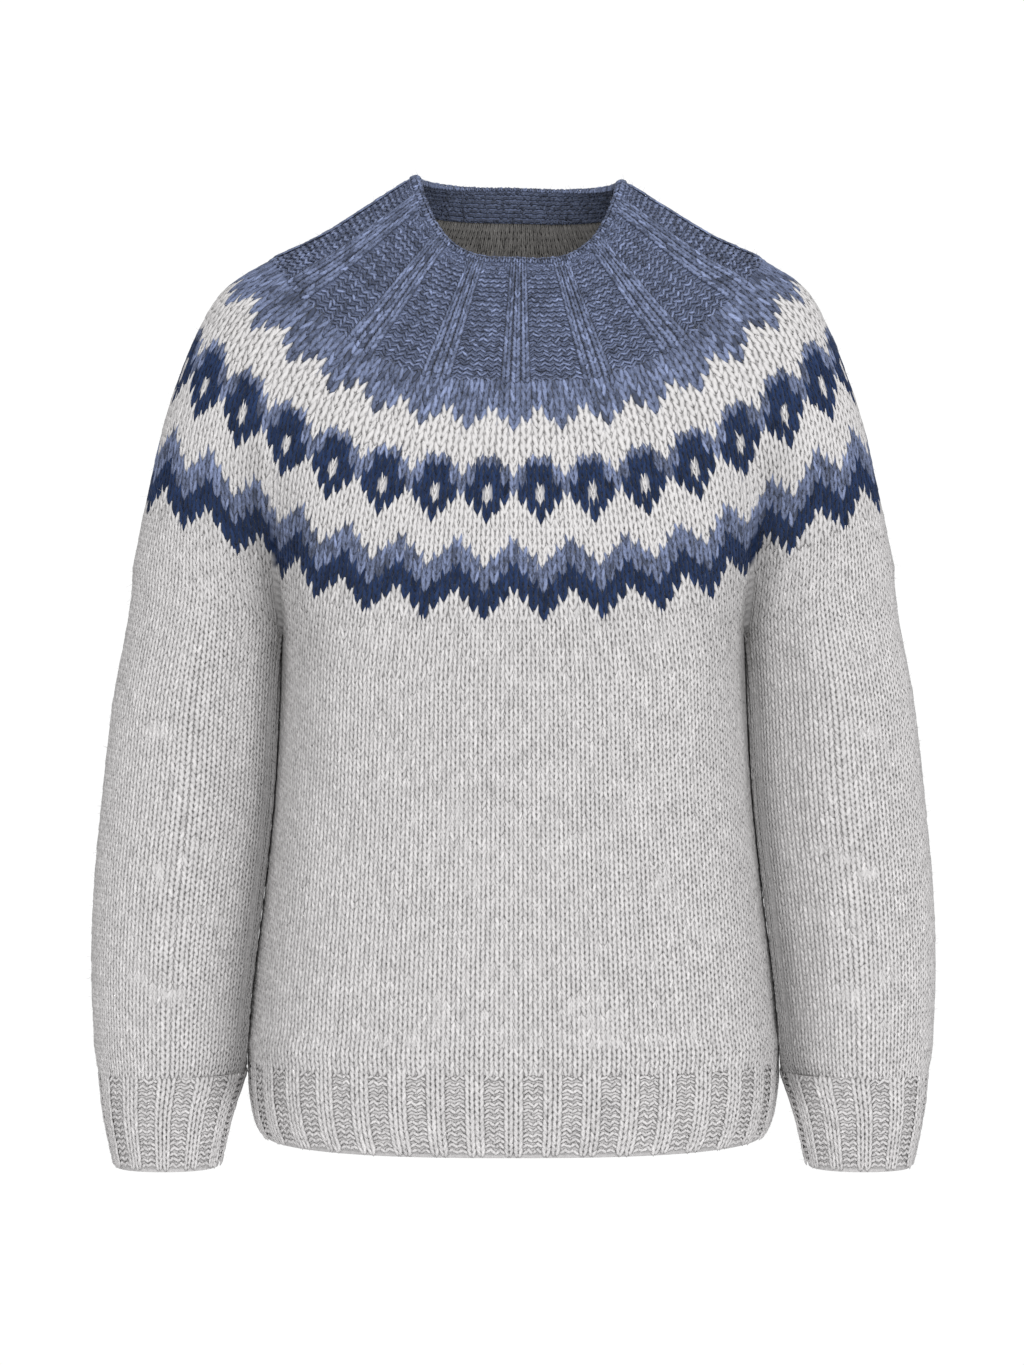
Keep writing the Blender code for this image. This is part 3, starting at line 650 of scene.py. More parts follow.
def layStitches(place, columns, rows, letters, seed, purl=None, lift=None, inside=False, narrow=None,
                reach=1.0, drawn=False, stray=0.12):
    # legs of every stitch of a grid: where, how turned, how big, and the yarn's colour, fleck and shade
    c, r = np.meshgrid(np.asarray(columns, float), np.asarray(rows, float))
    rng = np.random.default_rng(seed)
    point = place(c, r)
    across = place(c + 0.5, r) - place(c - 0.5, r)
    upward = place(c, r + 0.5) - place(c, r - 0.5)
    width = np.linalg.norm(across, axis=-1)[..., None]
    height = np.linalg.norm(upward, axis=-1)[..., None]
    side, up = unit(across), unit(upward)
    out = unit(np.cross(side, up))
    purl = np.zeros(c.shape, bool) if purl is None else np.broadcast_to(purl, c.shape)
    lift = np.zeros(c.shape) if lift is None else np.broadcast_to(lift, c.shape)
    narrow = np.ones(c.shape) if narrow is None else narrow
    if inside:  # on the face that looks into the garment
        point = point - out * cut["wall"]
        out, side = -out, -side
    sink = -yarnLay["sink"] if inside else yarnLay["sink"]
    base = point + out * (lift - sink)[..., None]
    perRow = (c.shape[0], 2 * c.shape[1])
    shades = uneven["alongShade"] * smoothRandom(rng, perRow, 1)
    shades = shades + uneven["legShade"] * rng.standard_normal(perRow)
    top = yarnLay["ribTop"] if drawn else yarnLay["legTop"]
    foot = yarnLay["legFoot"]
    rise = height * yarnLay["legLength"] * reach
    lean = np.arctan((top - foot) * width / (0.92 * rise))
    lean = lean + rng.normal(0, uneven["lean"], c.shape)[..., None]
    legs = []
    for index, hand in enumerate((-1.0, 1.0)):
        along = unit(up * np.cos(lean) + side * hand * np.sin(lean) - out * math.sin(yarnLay["dive"]))
        where = base + side * hand * width * (top + foot) / 2 * narrow[..., None]
        thick = np.full(width.shape, yarnLay["legHeight"])
        size = np.concatenate([width * yarnLay["legWidth"] * narrow[..., None], rise, thick], axis=-1)
        # a purl stitch shows as two short runs of yarn across it that meet in a low peak
        slant = -yarnLay["dashSlant"] * hand + rng.normal(0, stray, c.shape)[..., None]
        dashAlong = unit(side * np.cos(slant) + up * np.sin(slant) + out * 0.10)
        dashRise = rng.normal(0, uneven["dashUp"], c.shape)[..., None]
        dashPlace = base + side * width * 0.25 * hand + up * height * dashRise
        stretch = rng.normal(1, uneven["dashLength"], c.shape)[..., None]
        dashSize = np.concatenate(
            [height * yarnLay["dashHeight"], width * yarnLay["dashLength"] * stretch, thick], axis=-1)
        isPurl = purl[..., None]
        along = np.where(isPurl, dashAlong, along)
        where = np.where(isPurl, dashPlace, where) + out * rng.normal(0, uneven["out"], c.shape)[..., None]
        where = where + up * height * rng.normal(0, uneven["up"], c.shape)[..., None]
        size = np.where(isPurl, dashSize, size)
        right = unit(np.cross(along, out))
        legs.append({
            "position": where,
            "legTurn": eulers(right, along, unit(np.cross(right, along))),
            "legSize": size,
            # the colour carries painted shade near the fold between sleeve and body
            "yarnColour": yarnColours[letters] * foldShade(point)[..., None],
            "yarnFleck": yarnFlecks[letters],
            "yarnShade": shades[:, index::2],
            "out": out,
        })
    return {key: np.concatenate([leg[key].reshape(c.size, -1) for leg in legs]) for key in legs[0]}


def legMesh():
    # one visible run of yarn: a slim pointed leaf of 12 faces, its UV map across and along it
    ring = ((0.0, 0.5), (-0.5, -0.22), (0.5, -0.22))
    points = [(0, -0.5, 0.02)]
    points += [(x, -0.24, z) for x, z in ring] + [(x * 0.96, 0.23, z) for x, z in ring] + [(0, 0.5, 0.0)]
    faces = [(0, b, a) for a, b in ((1, 2), (2, 3), (3, 1))]
    faces += [(a, b, b + 3, a + 3) for a, b in ((1, 2), (2, 3), (3, 1))]
    faces += [(a + 3, b + 3, 7) for a, b in ((1, 2), (2, 3), (3, 1))]
    mesh = bpy.data.meshes.new("yarnLeg")
    mesh.from_pydata(points, [], faces)
    mesh.shade_smooth()
    run = mesh.uv_layers.new(name="yarnRun")
    for loop in mesh.loops:
        x, y, _ = mesh.vertices[loop.vertex_index].co
        run.data[loop.index].uv = (x + 0.5, y + 0.5)
    return addObject("yarnLeg", mesh)


def fibreMesh():
    # one loose fibre: a thin spike of 4 faces
    mesh = bpy.data.meshes.new("looseFibre")
    mesh.from_pydata([(-0.5, 0, -0.29), (0.5, 0, -0.29), (0, 0, 0.58), (0, 1, 0)], [],
                     [(0, 1, 2), (1, 0, 3), (2, 1, 3), (0, 2, 3)])
    mesh.shade_smooth()
    mesh.uv_layers.new(name="yarnRun")
    return addObject("looseFibre", mesh)


def fluff(legs, seed):
    # loose fibres that stand off the yarn, a share of one to a leg
    parts = {key: np.concatenate([part[key] for part in legs]) for key in legs[0]}
    rng = np.random.default_rng(seed)
    chosen = rng.random(len(parts["position"])) < fuzz["share"]
    parts = {key: value[chosen] for key, value in parts.items()}
    count = len(parts["position"])
    out = parts.pop("out")
    along = unit(out * rng.uniform(*fuzz["outward"], (count, 1)) + rng.normal(0, 0.5, (count, 3)))
    right = unit(np.cross(along, unit(rng.normal(0, 1, (count, 3)))))
    parts["legTurn"] = eulers(right, along, unit(np.cross(right, along)))
    length = rng.uniform(*fuzz["length"], (count, 1))
    width = np.full((count, 1), fuzz["width"])
    parts["legSize"] = np.concatenate([width, length, width], axis=1)
    parts["position"] = parts["position"] + out * fuzz["off"]
    parts["yarnColour"] = parts["yarnColour"] * 0.8 + 0.14
    return parts


def addNode(tree, kind, settings=None, **links):
    # a node with its settings, plain input values and links; a socket is named by its number or name
    node = tree.nodes.new(kind)
    for name, value in (settings or {}).items():
        setattr(node, name, value)
    for name, value in links.items():
        key = int(name[1:]) if name[0] == "i" and name[1:].isdigit() else name.replace("_", " ")
        if isinstance(value, bpy.types.NodeSocket):
            tree.links.new(value, node.inputs[key])
        else:
            node.inputs[key].default_value = value
    return node


def maths(tree, operation, *values):
    inputs = {"i" + str(index): value for index, value in enumerate(values)}
    return addNode(tree, "ShaderNodeMath", {"operation": operation}, **inputs).outputs[0]


def scaledBy(tree, vector, factor):
    made = addNode(tree, "ShaderNodeVectorMath", {"operation": "SCALE"}, i0=vector, Scale=factor)
    return made.outputs[0]


def stitchTree():
    tree = bpy.data.node_groups.new("layYarn", "GeometryNodeTree")
    face = tree.interface
    face.new_socket("Geometry", in_out="INPUT", socket_type="NodeSocketGeometry")
    face.new_socket("Leg", in_out="INPUT", socket_type="NodeSocketObject")
    for name in ("Width", "Length", "Height", "Size Jitter"):
        face.new_socket(name, in_out="INPUT", socket_type="NodeSocketFloat")
    face.new_socket("Seed", in_out="INPUT", socket_type="NodeSocketInt")
    face.new_socket("Yarn", in_out="INPUT", socket_type="NodeSocketMaterial")
    face.new_socket("Geometry", in_out="OUTPUT", socket_type="NodeSocketGeometry")
    given = addNode(tree, "NodeGroupInput").outputs
    turn = addNode(tree, "GeometryNodeInputNamedAttribute", {"data_type": "FLOAT_VECTOR"}, Name="legTurn")
    rotation = addNode(tree, "FunctionNodeEulerToRotation", i0=turn.outputs["Attribute"])
    size = addNode(tree, "GeometryNodeInputNamedAttribute", {"data_type": "FLOAT_VECTOR"}, Name="legSize")
    scale = addNode(tree, "ShaderNodeCombineXYZ", X=given["Width"], Y=given["Length"], Z=given["Height"])
    scaled = addNode(tree, "ShaderNodeVectorMath", {"operation": "MULTIPLY"},
                     i0=size.outputs["Attribute"], i1=scale.outputs[0])
    low = maths(tree, "SUBTRACT", 1.0, given["Size Jitter"])
    high = maths(tree, "ADD", 1.0, given["Size Jitter"])
    chance = addNode(tree, "FunctionNodeRandomValue", {"data_type": "FLOAT"}, i2=low, i3=high,
                     Seed=given["Seed"])
    varied = scaledBy(tree, scaled.outputs[0], chance.outputs[1])
    leg = addNode(tree, "GeometryNodeObjectInfo", Object=given["Leg"])
    laid = addNode(tree, "GeometryNodeInstanceOnPoints", Points=given["Geometry"],
                   Instance=leg.outputs["Geometry"], Rotation=rotation.outputs[0], Scale=varied)
    joined = addNode(tree, "GeometryNodeRealizeInstances", i0=laid.outputs[0])
    dyed = addNode(tree, "GeometryNodeSetMaterial", Geometry=joined.outputs[0], Material=given["Yarn"])
    addNode(tree, "NodeGroupOutput", i0=dyed.outputs[0])
    return tree


def makeYarn(name, legs, material, seed, shape=None):
    # turns laid legs into one plain mesh
    parts = {key: np.concatenate([part[key] for part in legs]) for key in legs[0]}
    count = len(parts["position"])
    mesh = bpy.data.meshes.new(name + "Points")
    mesh.vertices.add(count)
    mesh.vertices.foreach_set("co", parts["position"].astype(np.float32).ravel())
    for key, kind, field in (("legTurn", "FLOAT_VECTOR", "vector"), ("legSize", "FLOAT_VECTOR", "vector"),
                             ("yarnFleck", "FLOAT", "value"), ("yarnShade", "FLOAT", "value")):
        layer = mesh.attributes.new(key, kind, "POINT")
        layer.data.foreach_set(field, parts[key].astype(np.float32).ravel())
    colours = np.column_stack([parts["yarnColour"], np.ones(count)]).astype(np.float32)
    mesh.attributes.new("yarnColour", "FLOAT_COLOR", "POINT").data.foreach_set("color", colours.ravel())
    points = addObject(name + "Points", mesh)
    lay = points.modifiers.new("layYarn", "NODES")
    lay.node_group = yarnTree
    values = {"Leg": shape or yarnLeg, "Width": 1.0, "Length": 1.0, "Height": 1.0,
              "Size Jitter": yarnLay["jitter"], "Seed": seed, "Yarn": material}
    for item in yarnTree.interface.items_tree:
        if item.in_out == "INPUT" and item.name in values:
            lay[item.identifier] = values[item.name]
    graph = bpy.context.evaluated_depsgraph_get()
    made = bpy.data.meshes.new_from_object(points.evaluated_get(graph))
    made.name = name
    for key in ("legTurn", "legSize"):
        made.attributes.remove(made.attributes[key])
    bpy.data.objects.remove(points, do_unlink=True)
    piece = addObject(name, made)
    print(name, count, "legs", len(made.polygons), "faces")
    return piece



def makeCloth(name, place, columns, rows, closed, colours=None, outset=None, lift=None, inner="T"):
    # a closed shell: its outer face just under the yarn, its inner face a wall's thickness in
    c, r = np.meshgrid(np.asarray(columns, float), np.asarray(rows, float))
    point = place(c, r)
    across = place(c + 0.4, r) - place(c - 0.4, r)
    upward = place(c, r + 0.4) - place(c, r - 0.4)
    out = unit(np.cross(across, upward))
    raised = np.zeros(c.shape) if lift is None else lift(c, r)
    outset = outsets["plain"] if outset is None else outset
    outer = point - out * (outset - raised)[..., None]
    insideFace = point - out * (cut["wall"] + outsets["inner"])
    points = np.concatenate([outer.reshape(-1, 3), insideFace.reshape(-1, 3)])
    height, width = c.shape
    number = np.arange(height * width).reshape(height, width)
    if closed:
        number = np.hstack([number, number[:, :1]])
    a, b = number[:-1, :-1].ravel(), number[:-1, 1:].ravel()
    d, e = number[1:, 1:].ravel(), number[1:, :-1].ravel()
    start = height * width
    faces = [np.stack([a, b, d, e], 1), np.stack([a, e, d, b], 1) + start]
    bottom, top = number[0], number[-1]
    faces.append(np.stack([bottom[1:], bottom[:-1], bottom[:-1] + start, bottom[1:] + start], 1))
    faces.append(np.stack([top[:-1], top[1:], top[1:] + start, top[:-1] + start], 1))
    if not closed:
        left, right = number[:, 0], number[:, -1]
        faces.append(np.stack([left[:-1], left[1:], left[1:] + start, left[:-1] + start], 1))
        faces.append(np.stack([right[1:], right[:-1], right[:-1] + start, right[1:] + start], 1))
    faces = np.concatenate(faces)
    mesh = bpy.data.meshes.new(name)
    mesh.from_pydata(points.tolist(), [], faces.tolist())
    mesh.shade_smooth()
    shades = np.empty((len(points), 4), np.float32)
    shades[:, 3] = 1.0
    outerColour = yarnColours[0] if colours is None else yarnColours[colours(c, r)]
    # painted shade darkens the ground near the fold between sleeve and body
    outerColour = np.broadcast_to(outerColour, (*c.shape, 3)) * foldShade(point)[..., None]
    shades[: start, :3] = outerColour.reshape(-1, 3)
    shades[start:, :3] = yarnColours[yarnOrder.index(inner)]
    mesh.attributes.new("yarnColour", "FLOAT_COLOR", "POINT").data.foreach_set("color", shades.ravel())
    stitchUv = np.column_stack([np.tile(c.ravel(), 2), np.tile(r.ravel(), 2)])
    corners = np.empty(len(mesh.loops), np.int32)
    mesh.loops.foreach_get("vertex_index", corners)
    uv = stitchUv[corners]
    if closed:  # the last column's quads would run back to the first
        whole = len(columns) * (columns[1] - columns[0])
        quads = uv.reshape(-1, 4, 2)
        span = quads[..., 0].max(axis=1) - quads[..., 0].min(axis=1)
        wraps = span > whole / 2
        low = quads[..., 0] < whole / 2 + float(columns[0])
        quads[..., 0] = np.where(wraps[:, None] & low, quads[..., 0] + whole, quads[..., 0])
    mesh.uv_layers.new(name="stitchMap").data.foreach_set("uv", uv.astype(np.float32).ravel())
    mesh.materials.append(clothMaterial)
    return addObject(name, mesh)



woolShader = {
    "Roughness": 0.95, "IOR": 1.5, "Specular IOR Level": 0.10, "Sheen Weight": 0.10, "Sheen Roughness": 0.55,
    "Sheen Tint": (*linear("#F2F1EE"), 1),
}
woolLook = {
    "fibreScale": 900.0,  # fibres 0.05 mm thick are drawn about 1 mm wide, the finest that still shows
    "slubScale": 110.0,  # slubs, some 9 mm apart along the garment
    "contrast": 1.3,
    "legContrast": 0.30,
    "darkest": 0.45,
    "middle": 0.55,  # of a leg's length, from where painted shade darkens it towards both ends
    # how strong the painted shade at a leg's ends is
    "ends": -0.35,
    "plySlant": 0.35,
    "plyTurns": 18.8,  # radians, 3 grooves to a leg
    "fibreRise": 1.6,
    "bump": 0.35,
    "bumpDepth": 0.0004,
}
groundShader = {"Roughness": 1.0, "Specular IOR Level": 0.1}
groundLook = {"fibreScale": 800.0, "fibreRise": 1.2, "contrast": 0.06, "tone": 0.88, "bump": 0.5,
              "bumpDepth": 0.0008}


def newMaterial(name, shaderInputs):
    material = bpy.data.materials.new(name)
    material.use_nodes = True
    shader = material.node_tree.nodes["Principled BSDF"]
    for key, value in shaderInputs.items():
        shader.inputs[key].default_value = value
    return material, material.node_tree, shader


def attribute(tree, name, output):
    return addNode(tree, "ShaderNodeAttribute", {"attribute_name": name}).outputs[output]


def woolYarn():
    # Loosely spun marled wool, knitted thick: matt, hairy and soft at its edges. The eye sees light and dark
    # fibres mixed along each strand, the twist of its plies, and a pale bloom of fuzz at grazing angles.
    material, tree, shader = newMaterial("spunMarledWool", woolShader)
    colour = attribute(tree, "yarnColour", "Color")
    fleck = attribute(tree, "yarnFleck", "Fac")
    shade = attribute(tree, "yarnShade", "Fac")
    run = addNode(tree, "ShaderNodeUVMap", {"uv_map": "yarnRun"})
    place = addNode(tree, "ShaderNodeTexCoord").outputs["Object"]
    fibres = addNode(tree, "ShaderNodeTexNoise", Vector=place, Scale=woolLook["fibreScale"], Detail=2.0,
                     Roughness=0.6).outputs[0]
    slubs = addNode(tree, "ShaderNodeTexNoise", Vector=place, Scale=woolLook["slubScale"], Detail=3.0,
                    Roughness=0.7).outputs[0]
    centred = maths(tree, "SUBTRACT", maths(tree, "ADD", fibres, slubs), 1.0)
    fibreShade = maths(tree, "MULTIPLY", centred, woolLook["contrast"])
    legShade = maths(tree, "MULTIPLY_ADD", shade, woolLook["legContrast"], fibreShade)
    marl = maths(tree, "MULTIPLY_ADD", legShade, fleck, 1.0)
    # painted shade darkens the yarn where it dives under its neighbour, at both ends
    split = addNode(tree, "ShaderNodeSeparateXYZ", Vector=run.outputs[0]).outputs
    squared = maths(tree, "POWER", maths(tree, "SUBTRACT", split[1], woolLook["middle"]), 2.0)
    ends = maths(tree, "MULTIPLY_ADD", squared, woolLook["ends"], 1.0)
    whole = maths(tree, "MULTIPLY", maths(tree, "MAXIMUM", marl, woolLook["darkest"]), ends)
    tree.links.new(scaledBy(tree, colour, whole), shader.inputs["Base Color"])
    # two plies twisted together show as slanting grooves
    slant = maths(tree, "MULTIPLY_ADD", split[0], woolLook["plySlant"], split[1])
    groove = maths(tree, "SINE", maths(tree, "MULTIPLY", slant, woolLook["plyTurns"]))
    rough = maths(tree, "MULTIPLY_ADD", fibres, woolLook["fibreRise"], groove)
    bump = addNode(tree, "ShaderNodeBump", Height=rough, Strength=woolLook["bump"],
                   Distance=woolLook["bumpDepth"])
    tree.links.new(bump.outputs[0], shader.inputs["Normal"])
    return material


def knitBack():
    # The cloth behind the yarn: the same wool in shadow, with the columns of the knit's wrong side.
    material, tree, shader = newMaterial("knittedWoolGround", groundShader)
    stitch = addNode(tree, "ShaderNodeUVMap", {"uv_map": "stitchMap"})
    split = addNode(tree, "ShaderNodeSeparateXYZ", Vector=stitch.outputs[0]).outputs
    # one wave to a stitch, across and up
    waves = [maths(tree, "COSINE", maths(tree, "MULTIPLY", split[axis], 2 * math.pi)) for axis in (0, 1)]
    knot = maths(tree, "MULTIPLY_ADD", waves[0], 0.5, waves[1])
    place = addNode(tree, "ShaderNodeTexCoord").outputs["Object"]
    fibres = addNode(tree, "ShaderNodeTexNoise", Vector=place, Scale=groundLook["fibreScale"], Detail=2.0)
    mixed = maths(tree, "MULTIPLY_ADD", fibres.outputs[0], groundLook["fibreRise"], knot)
    tone = maths(tree, "MULTIPLY_ADD", mixed, groundLook["contrast"], groundLook["tone"])
    colour = attribute(tree, "yarnColour", "Color")
    tree.links.new(scaledBy(tree, colour, tone), shader.inputs["Base Color"])
    bump = addNode(tree, "ShaderNodeBump", Height=mixed, Strength=groundLook["bump"],
                   Distance=groundLook["bumpDepth"])
    tree.links.new(bump.outputs[0], shader.inputs["Normal"])
    return material


yarnMaterial = woolYarn()
clothMaterial = knitBack()
yarnLeg = legMesh()
looseFibre = fibreMesh()
yarnTree = stitchTree()
print("materials and yarn ready")


def dressNode(node, cloth, yarn, laid):
    fluffName = yarn.name.replace("Yarn", "Fluff")
    haze = makeYarn(fluffName, [fluff(laid, len(node))], yarnMaterial, 10, looseFibre)
    for piece in (cloth, yarn, haze):
        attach(piece, "root")
    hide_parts(node)


def plainLetters(columns, rows, letter):
    return np.full((len(rows), len(columns)), yarnOrder.index(letter))


def centres(count):
    return np.arange(count) + 0.5


def ribLift(columns, period, knitStitches, height):
    # knit columns stand up, purl columns lie back
    step = (np.asarray(columns) + knitStitches / 2) % period
    isKnit = step < knitStitches
    middle = np.abs(step - knitStitches / 2) / (knitStitches / 2)
    hollow = np.abs(step - (period + knitStitches) / 2) / ((period - knitStitches) / 2)
    return isKnit, np.where(isKnit, height * (1 - 0.25 * middle**2), -0.4 * height * (1 - 0.6 * hollow**2))


def castOn(isKnit, rows):
    # the lowest rounds crowd a little, so that their stitches end on the edge
    purl = np.broadcast_to(~isKnit, (len(rows), len(isKnit)))
    return purl, rows + 0.60 * np.clip(1 - np.arange(len(rows)) / 5, 0, 1)


def knitRib(yarnName, place, columns, edges, rowCount, closed, height, seeds):
    # a 2 by 2 rib of the hem or a cuff: its cloth, its yarn and the legs laid
    isKnit, lift = ribLift(columns, 4, 2, height)
    purl, rows = castOn(isKnit, centres(rowCount))
    legs = layStitches(place, columns, rows, plainLetters(columns, rows, "G"), seeds[0], purl, lift)
    yarn = makeYarn(yarnName, [legs], yarnMaterial, seeds[1])
    cloth = makeCloth(yarnName.replace("Yarn", "Cloth"), place, edges, np.linspace(0, rowCount, 9), closed,
                      outset=outsets["rib"])
    return cloth, yarn, [legs]


# how far the ground lies behind the face, and its inner side past the wall
outsets = {"plain": 0.0010, "rib": 0.0017, "yokeRib": 0.0019, "band": 0.0014, "inner": 0.0004}
# Columns of the torso's side seam and of the sleeve's inner face press on each other and carry no yarn, so the
# ground is lifted there. The sleeve's are counted from the middle of its inner face.
pressed = {"lift": 0.0010, "bodyColumns": 3, "sleeveReach": 2.4}
bodyQuarter = knit["bodyToFold"] + knit["bodyUnderarm"]
sleeveAround = 2 * knit["sleeveLobe"] + knit["sleeveInner"]


def bodyGroundLift(column, row):
    return pressed["lift"] * np.clip(np.abs(column) - (bodyQuarter - pressed["bodyColumns"] - 1), 0, 1)


def fromInnerFace(column, side):
    return np.abs((column * side) % sleeveAround - sleeveAround + knit["sleeveInner"] / 2)


def sleeveGroundLift(side):
    def liftAt(column, row):
        return pressed["lift"] * np.clip(pressed["sleeveReach"] + 1 - fromInnerFace(column, side), 0, 1)

    return liftAt


torso = {"flatWidth": 0.47, "frontLength": 0.31, "hemLength": 0.058, "ribHeight": 0.0005}
for front, word in ((True, "Front"), (False, "Back")):
    place = placeBody(front)
    columns = np.arange(-bodyQuarter + pressed["bodyColumns"], bodyQuarter - pressed["bodyColumns"]) + 0.5
    rows = centres(knit["bodyRows"])
    legs = layStitches(place, columns, rows, plainLetters(columns, rows, "G"), 11 + front)
    yarn = makeYarn("bodyYarn" + word, [legs], yarnMaterial, 3)
    edges = np.linspace(-bodyQuarter, bodyQuarter, bodyQuarter + 1)
    cloth = makeCloth("bodyCloth" + word, place, edges, np.linspace(0, knit["bodyRows"], 31), False,
                      lift=bodyGroundLift)
    dressNode("body_" + word.lower(), cloth, yarn, [legs])

    half = knit["hemPerQuarter"]
    cloth, yarn, laid = knitRib("hemYarn" + word, placeHem(front), np.arange(-half, half) + 0.5,
                                np.linspace(-half, half, 2 * half + 1), knit["hemRows"], False,
                                torso["ribHeight"], (21 + front, 4))
    dressNode("hem_rib_" + word.lower(), cloth, yarn, laid)

arms = {"flatWidth": 0.37, "length": 0.35, "cuffWidth": 0.29, "cuffLength": 0.066, "ribHeight": 0.0005}
for side, word in ((1, "Left"), (-1, "Right")):
    place = placeSleeve(side)
    columns = centres(sleeveAround)
    columns = columns[fromInnerFace(columns, side) > pressed["sleeveReach"]]
    rows = centres(knit["sleeveRows"])
    legs = layStitches(place, columns, rows, plainLetters(columns, rows, "G"), 31 + side)
    yarn = makeYarn("sleeveYarn" + word, [legs], yarnMaterial, 5)
    cloth = makeCloth("sleeveCloth" + word, place, np.arange(sleeveAround),
                      np.linspace(0, knit["sleeveRows"], 33), True, lift=sleeveGroundLift(side))
    dressNode("sleeve_" + word.lower(), cloth, yarn, [legs])

    count = knit["cuffColumns"]
    cloth, yarn, laid = knitRib("cuffYarn" + word, placeCuff(side), centres(count), np.arange(count),
                                knit["cuffRows"], True, arms["ribHeight"], (41 + side, 6))
    dressNode("cuff_" + word.lower(), cloth, yarn, laid)

print("body and sleeves knitted")

yoke = {"flatWidth": 1.16, "patternLength": 0.235, "ribWidth": 0.86, "ribLength": 0.090,
        "bandWidth": 0.50, "bandLength": 0.046, "ribHeight": 0.0012, "eyeWidth": 0.50}
greyPlace = placeYokeGrey()
greyColumns, greyRows = centres(4 * (knit["bodyToFold"] + knit["sleeveLobe"])), centres(knit["yokeGreyRows"])
patternPlace = placeRounds(knit["yokeColumns"], patternLow, patternMiddle, knit["yokePatternRows"])
patternColumns, patternRows = range(knit["yokeColumns"]), range(knit["yokePatternRows"])
upperPlace = placeRounds(knit["upperColumns"], patternMiddle, cut["patternTop"], knit["yokeUpperRows"])
upperColumns, upperRows = range(knit["upperColumns"]), range(knit["yokeUpperRows"])
patternChart = letterNumbers(patternLetter, patternColumns, patternRows)
upperChart = letterNumbers(upperLetter, upperColumns, upperRows)
eye = np.ones(patternChart.shape)
for row in (13, 14):  # the white eye of a diamond is a slim stitch
    eye[row, 3::6] = yoke["eyeWidth"]
legs = [
    layStitches(greyPlace, greyColumns, greyRows, plainLetters(greyColumns, greyRows, "G"), 51),
    layStitches(patternPlace, patternColumns, np.array(patternRows) + 0.5, patternChart, 52, narrow=eye),
    layStitches(upperPlace, upperColumns, np.array(upperRows) + 0.5, upperChart, 53),
]
yarn = makeYarn("yokePatternYarn", legs, yarnMaterial, 7)


def yokeWhole(column, row):
    # rows 0 to 8 are grey, 8 to 26 the pattern, 26 to 34 the rounds above it; columns as in the pattern
    grey, pattern = knit["yokeGreyRows"], knit["yokePatternRows"]
    down = np.interp(row, [0, grey, grey + pattern, grey + pattern + knit["yokeUpperRows"]],
                     [cut["joinDown"], patternLow, patternMiddle, cut["patternTop"]])
    return creased(yokeSurface(np.asarray(column, float) / knit["yokeColumns"], down), 0.0)


def yokeWholeColours(column, row):
    grey, pattern = knit["yokeGreyRows"], knit["yokePatternRows"]
    c = np.rint(column).astype(int) % knit["yokeColumns"]
    inPattern = np.clip(np.floor(row - grey), 0, pattern - 1).astype(int)
    inUpper = np.clip(np.floor(row - grey - pattern), 0, knit["yokeUpperRows"] - 1).astype(int)
    upperColumn = np.rint(column * knit["upperColumns"] / knit["yokeColumns"]).astype(int)
    upperColumn = upperColumn % knit["upperColumns"]
    letter = np.where(row < grey, 0, patternChart[inPattern, c])
    return np.where(row >= grey + pattern, upperChart[inUpper, upperColumn], letter)


wholeRows = knit["yokeGreyRows"] + knit["yokePatternRows"] + knit["yokeUpperRows"]
cloth = makeCloth("yokePatternCloth", yokeWhole, np.arange(knit["yokeColumns"]), np.arange(wholeRows + 1),
                  True, yokeWholeColours)
dressNode("yoke_pattern", cloth, yarn, legs)

# The ribbed upper yoke: 16 knit ribs that run out from the neck, with purl between them.
ribPlace = placeRounds(knit["upperColumns"], cut["patternTop"], cut["bandOutside"], knit["ribRows"])
ribRows = centres(knit["ribRows"])
ribColumns = np.arange(knit["upperColumns"])
isKnit, lift = ribLift(ribColumns, 8, 3, yoke["ribHeight"])
letters = plainLetters(ribColumns, ribRows, "B")
start = np.clip((ribRows + 0.5) / 2, 0, 1)[:, None]  # the ribs rise over their first two rounds
legs = [layStitches(ribPlace, ribColumns, ribRows, letters, 61, ~isKnit, lift * start, drawn=True)]
insideCount = 3 * knit["upperColumns"] // 2
insidePlace = placeRounds(insideCount, cut["patternTop"], cut["bandOutside"], 18)
insideColumns, insideRows = np.arange(insideCount), np.arange(1, 16) + 0.5
legs.append(layStitches(insidePlace, insideColumns, insideRows, plainLetters(insideColumns, insideRows, "T"),
                        62, inside=True, reach=1.35))
yarn = makeYarn("yokeRibYarn", legs, yarnMaterial, 8)


def ribColours(column, row):
    return np.full(np.shape(column), yarnOrder.index("B"))


def ribGroundLift(column, row):
    # the ground follows the ribs, so nothing is seen through them from the side
    return ribLift(column, 8, 3, yoke["ribHeight"])[1] * np.clip(row / 2, 0, 1)


cloth = makeCloth("yokeRibCloth", ribPlace, ribColumns, np.linspace(0, knit["ribRows"], 23), True, ribColours,
                  outset=outsets["yokeRib"], lift=ribGroundLift)
dressNode("yoke_rib", cloth, yarn, legs)

# The neckband, folded to the inside: ribs outside and over the rim, purl on the turned-in leg.
bandPlace = placeBand(knit["upperColumns"])
bandRowCentres = centres(bandRows)
rimRows = (2.6, 6.4)  # the rounds over the roll, after which the yarn is the turned-in leg's
overRim = np.clip(1.4 - bandRowCentres / 3, 0, 1)[:, None]
rim = (bandRowCentres > rimRows[0]) & (bandRowCentres < rimRows[1])
purlBand = ((~isKnit)[None, :] & ~rim[:, None]) | (bandRowCentres[:, None] > rimRows[1])


def bandLetter(column, row):
    # past the rim the yarn is the darker D, painted shade on the turned-in leg
    return "D" if row > rimRows[1] else "B"


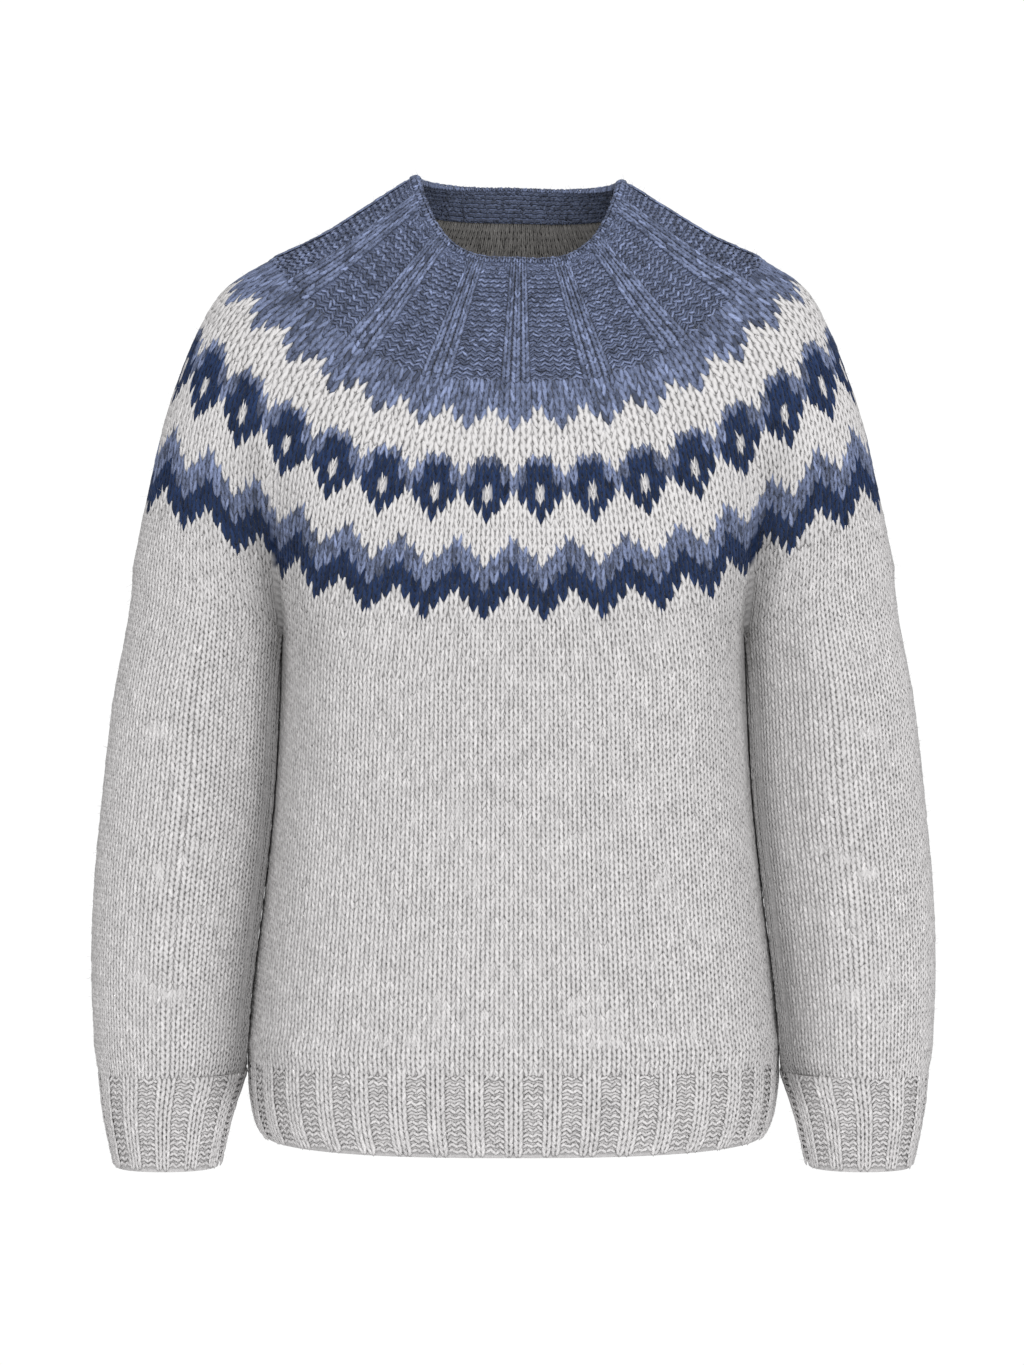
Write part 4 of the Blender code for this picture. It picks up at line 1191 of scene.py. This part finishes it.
bandLetters = letterNumbers(bandLetter, ribColumns, bandRowCentres)
legs = layStitches(bandPlace, ribColumns, bandRowCentres, bandLetters, 71, purlBand,
                   lift * overRim + 0.0010 * rim[:, None], reach=np.where(rim, 0.72, 1.0)[:, None, None],
                   stray=0.45)
yarn = makeYarn("neckbandYarn", [legs], yarnMaterial, 9)


def bandGroundLift(column, row):
    ribs = ribLift(column, 8, 3, yoke["ribHeight"])[1] * np.clip(1.4 - row / 3, 0, 1)
    return ribs + 0.0008 * np.exp(-(((row - 4.5) / 2) ** 2))


# the inner face takes the darker D, painted shade
cloth = makeCloth("neckbandCloth", bandPlace, ribColumns, np.linspace(0, bandRows, 25), True, ribColours,
                  outset=outsets["band"], lift=bandGroundLift, inner="D")
dressNode("neckband", cloth, yarn, [legs])
for pattern in (yarnLeg, looseFibre):
    bpy.data.objects.remove(pattern, do_unlink=True)
print("yoke knitted")

studio = {
    "floorHeight": -0.950, "floorRadius": 0.86, "floorCorners": 96, "worldLight": 0.36, "seenWorld": 1.02,
    "keyPlace": (0.35, -3.1, 0.5), "backPlace": (-0.35, 3.1, 0.5), "aim": (0, 0, -0.3), "boxSize": (4.4, 3.4),
    "energy": 132.0, "lens": 99.4, "viewpoint": (-0.001, -2.6, -0.315),
}
turns = [math.tau * k / studio["floorCorners"] for k in range(studio["floorCorners"])]
edge = [(studio["floorRadius"] * math.cos(turn), studio["floorRadius"] * math.sin(turn), studio["floorHeight"])
        for turn in turns]
floorMesh = bpy.data.meshes.new("studioFloor")
floorMesh.from_pydata(edge, [], [tuple(range(len(edge)))])
floor = addObject("studioFloor", floorMesh)
floorShader = {"Base Color": (0.93, 0.93, 0.93, 1), "Roughness": 1.0, "Specular IOR Level": 0.0}
floorMesh.materials.append(newMaterial("mattWhiteFloorPaint", floorShader)[0])

world = bpy.data.worlds.new("whiteStudio")
bpy.context.scene.world = world
world.use_nodes = True
ways = world.node_tree
backdrop = ways.nodes["Background"]  # seen as plain white, but lighting the wool more softly
backdrop.inputs["Color"].default_value = (1, 1, 1, 1)
ray = addNode(ways, "ShaderNodeLightPath").outputs["Is Camera Ray"]
strength = maths(ways, "MULTIPLY_ADD", ray, studio["seenWorld"] - studio["worldLight"], studio["worldLight"])
ways.links.new(strength, backdrop.inputs["Strength"])


def softBox(name, place):
    lamp = bpy.data.lights.new(name, "AREA")
    lamp.shape = "RECTANGLE"
    lamp.size, lamp.size_y = studio["boxSize"]
    lamp.energy = studio["energy"]
    box = addObject(name, lamp)
    direction = np.array(studio["aim"]) - np.array(place)
    box.location = place
    yaw = math.atan2(direction[0], -direction[1])
    pitch = math.atan2(math.hypot(direction[0], direction[1]), -direction[2])
    box.rotation_euler = (pitch, 0, yaw + math.pi)


softBox("keySoftBox", studio["keyPlace"])
softBox("backSoftBox", studio["backPlace"])

camera = bpy.data.cameras.new("studioCamera")
camera.sensor_width = 36
camera.lens = studio["lens"]
viewer = addObject("studioCamera", camera)
viewer.location = studio["viewpoint"]
viewer.rotation_euler = (math.radians(90), 0, 0)
bpy.context.scene.camera = viewer
bpy.context.scene.view_settings.view_transform = "Standard"
print("studio set")
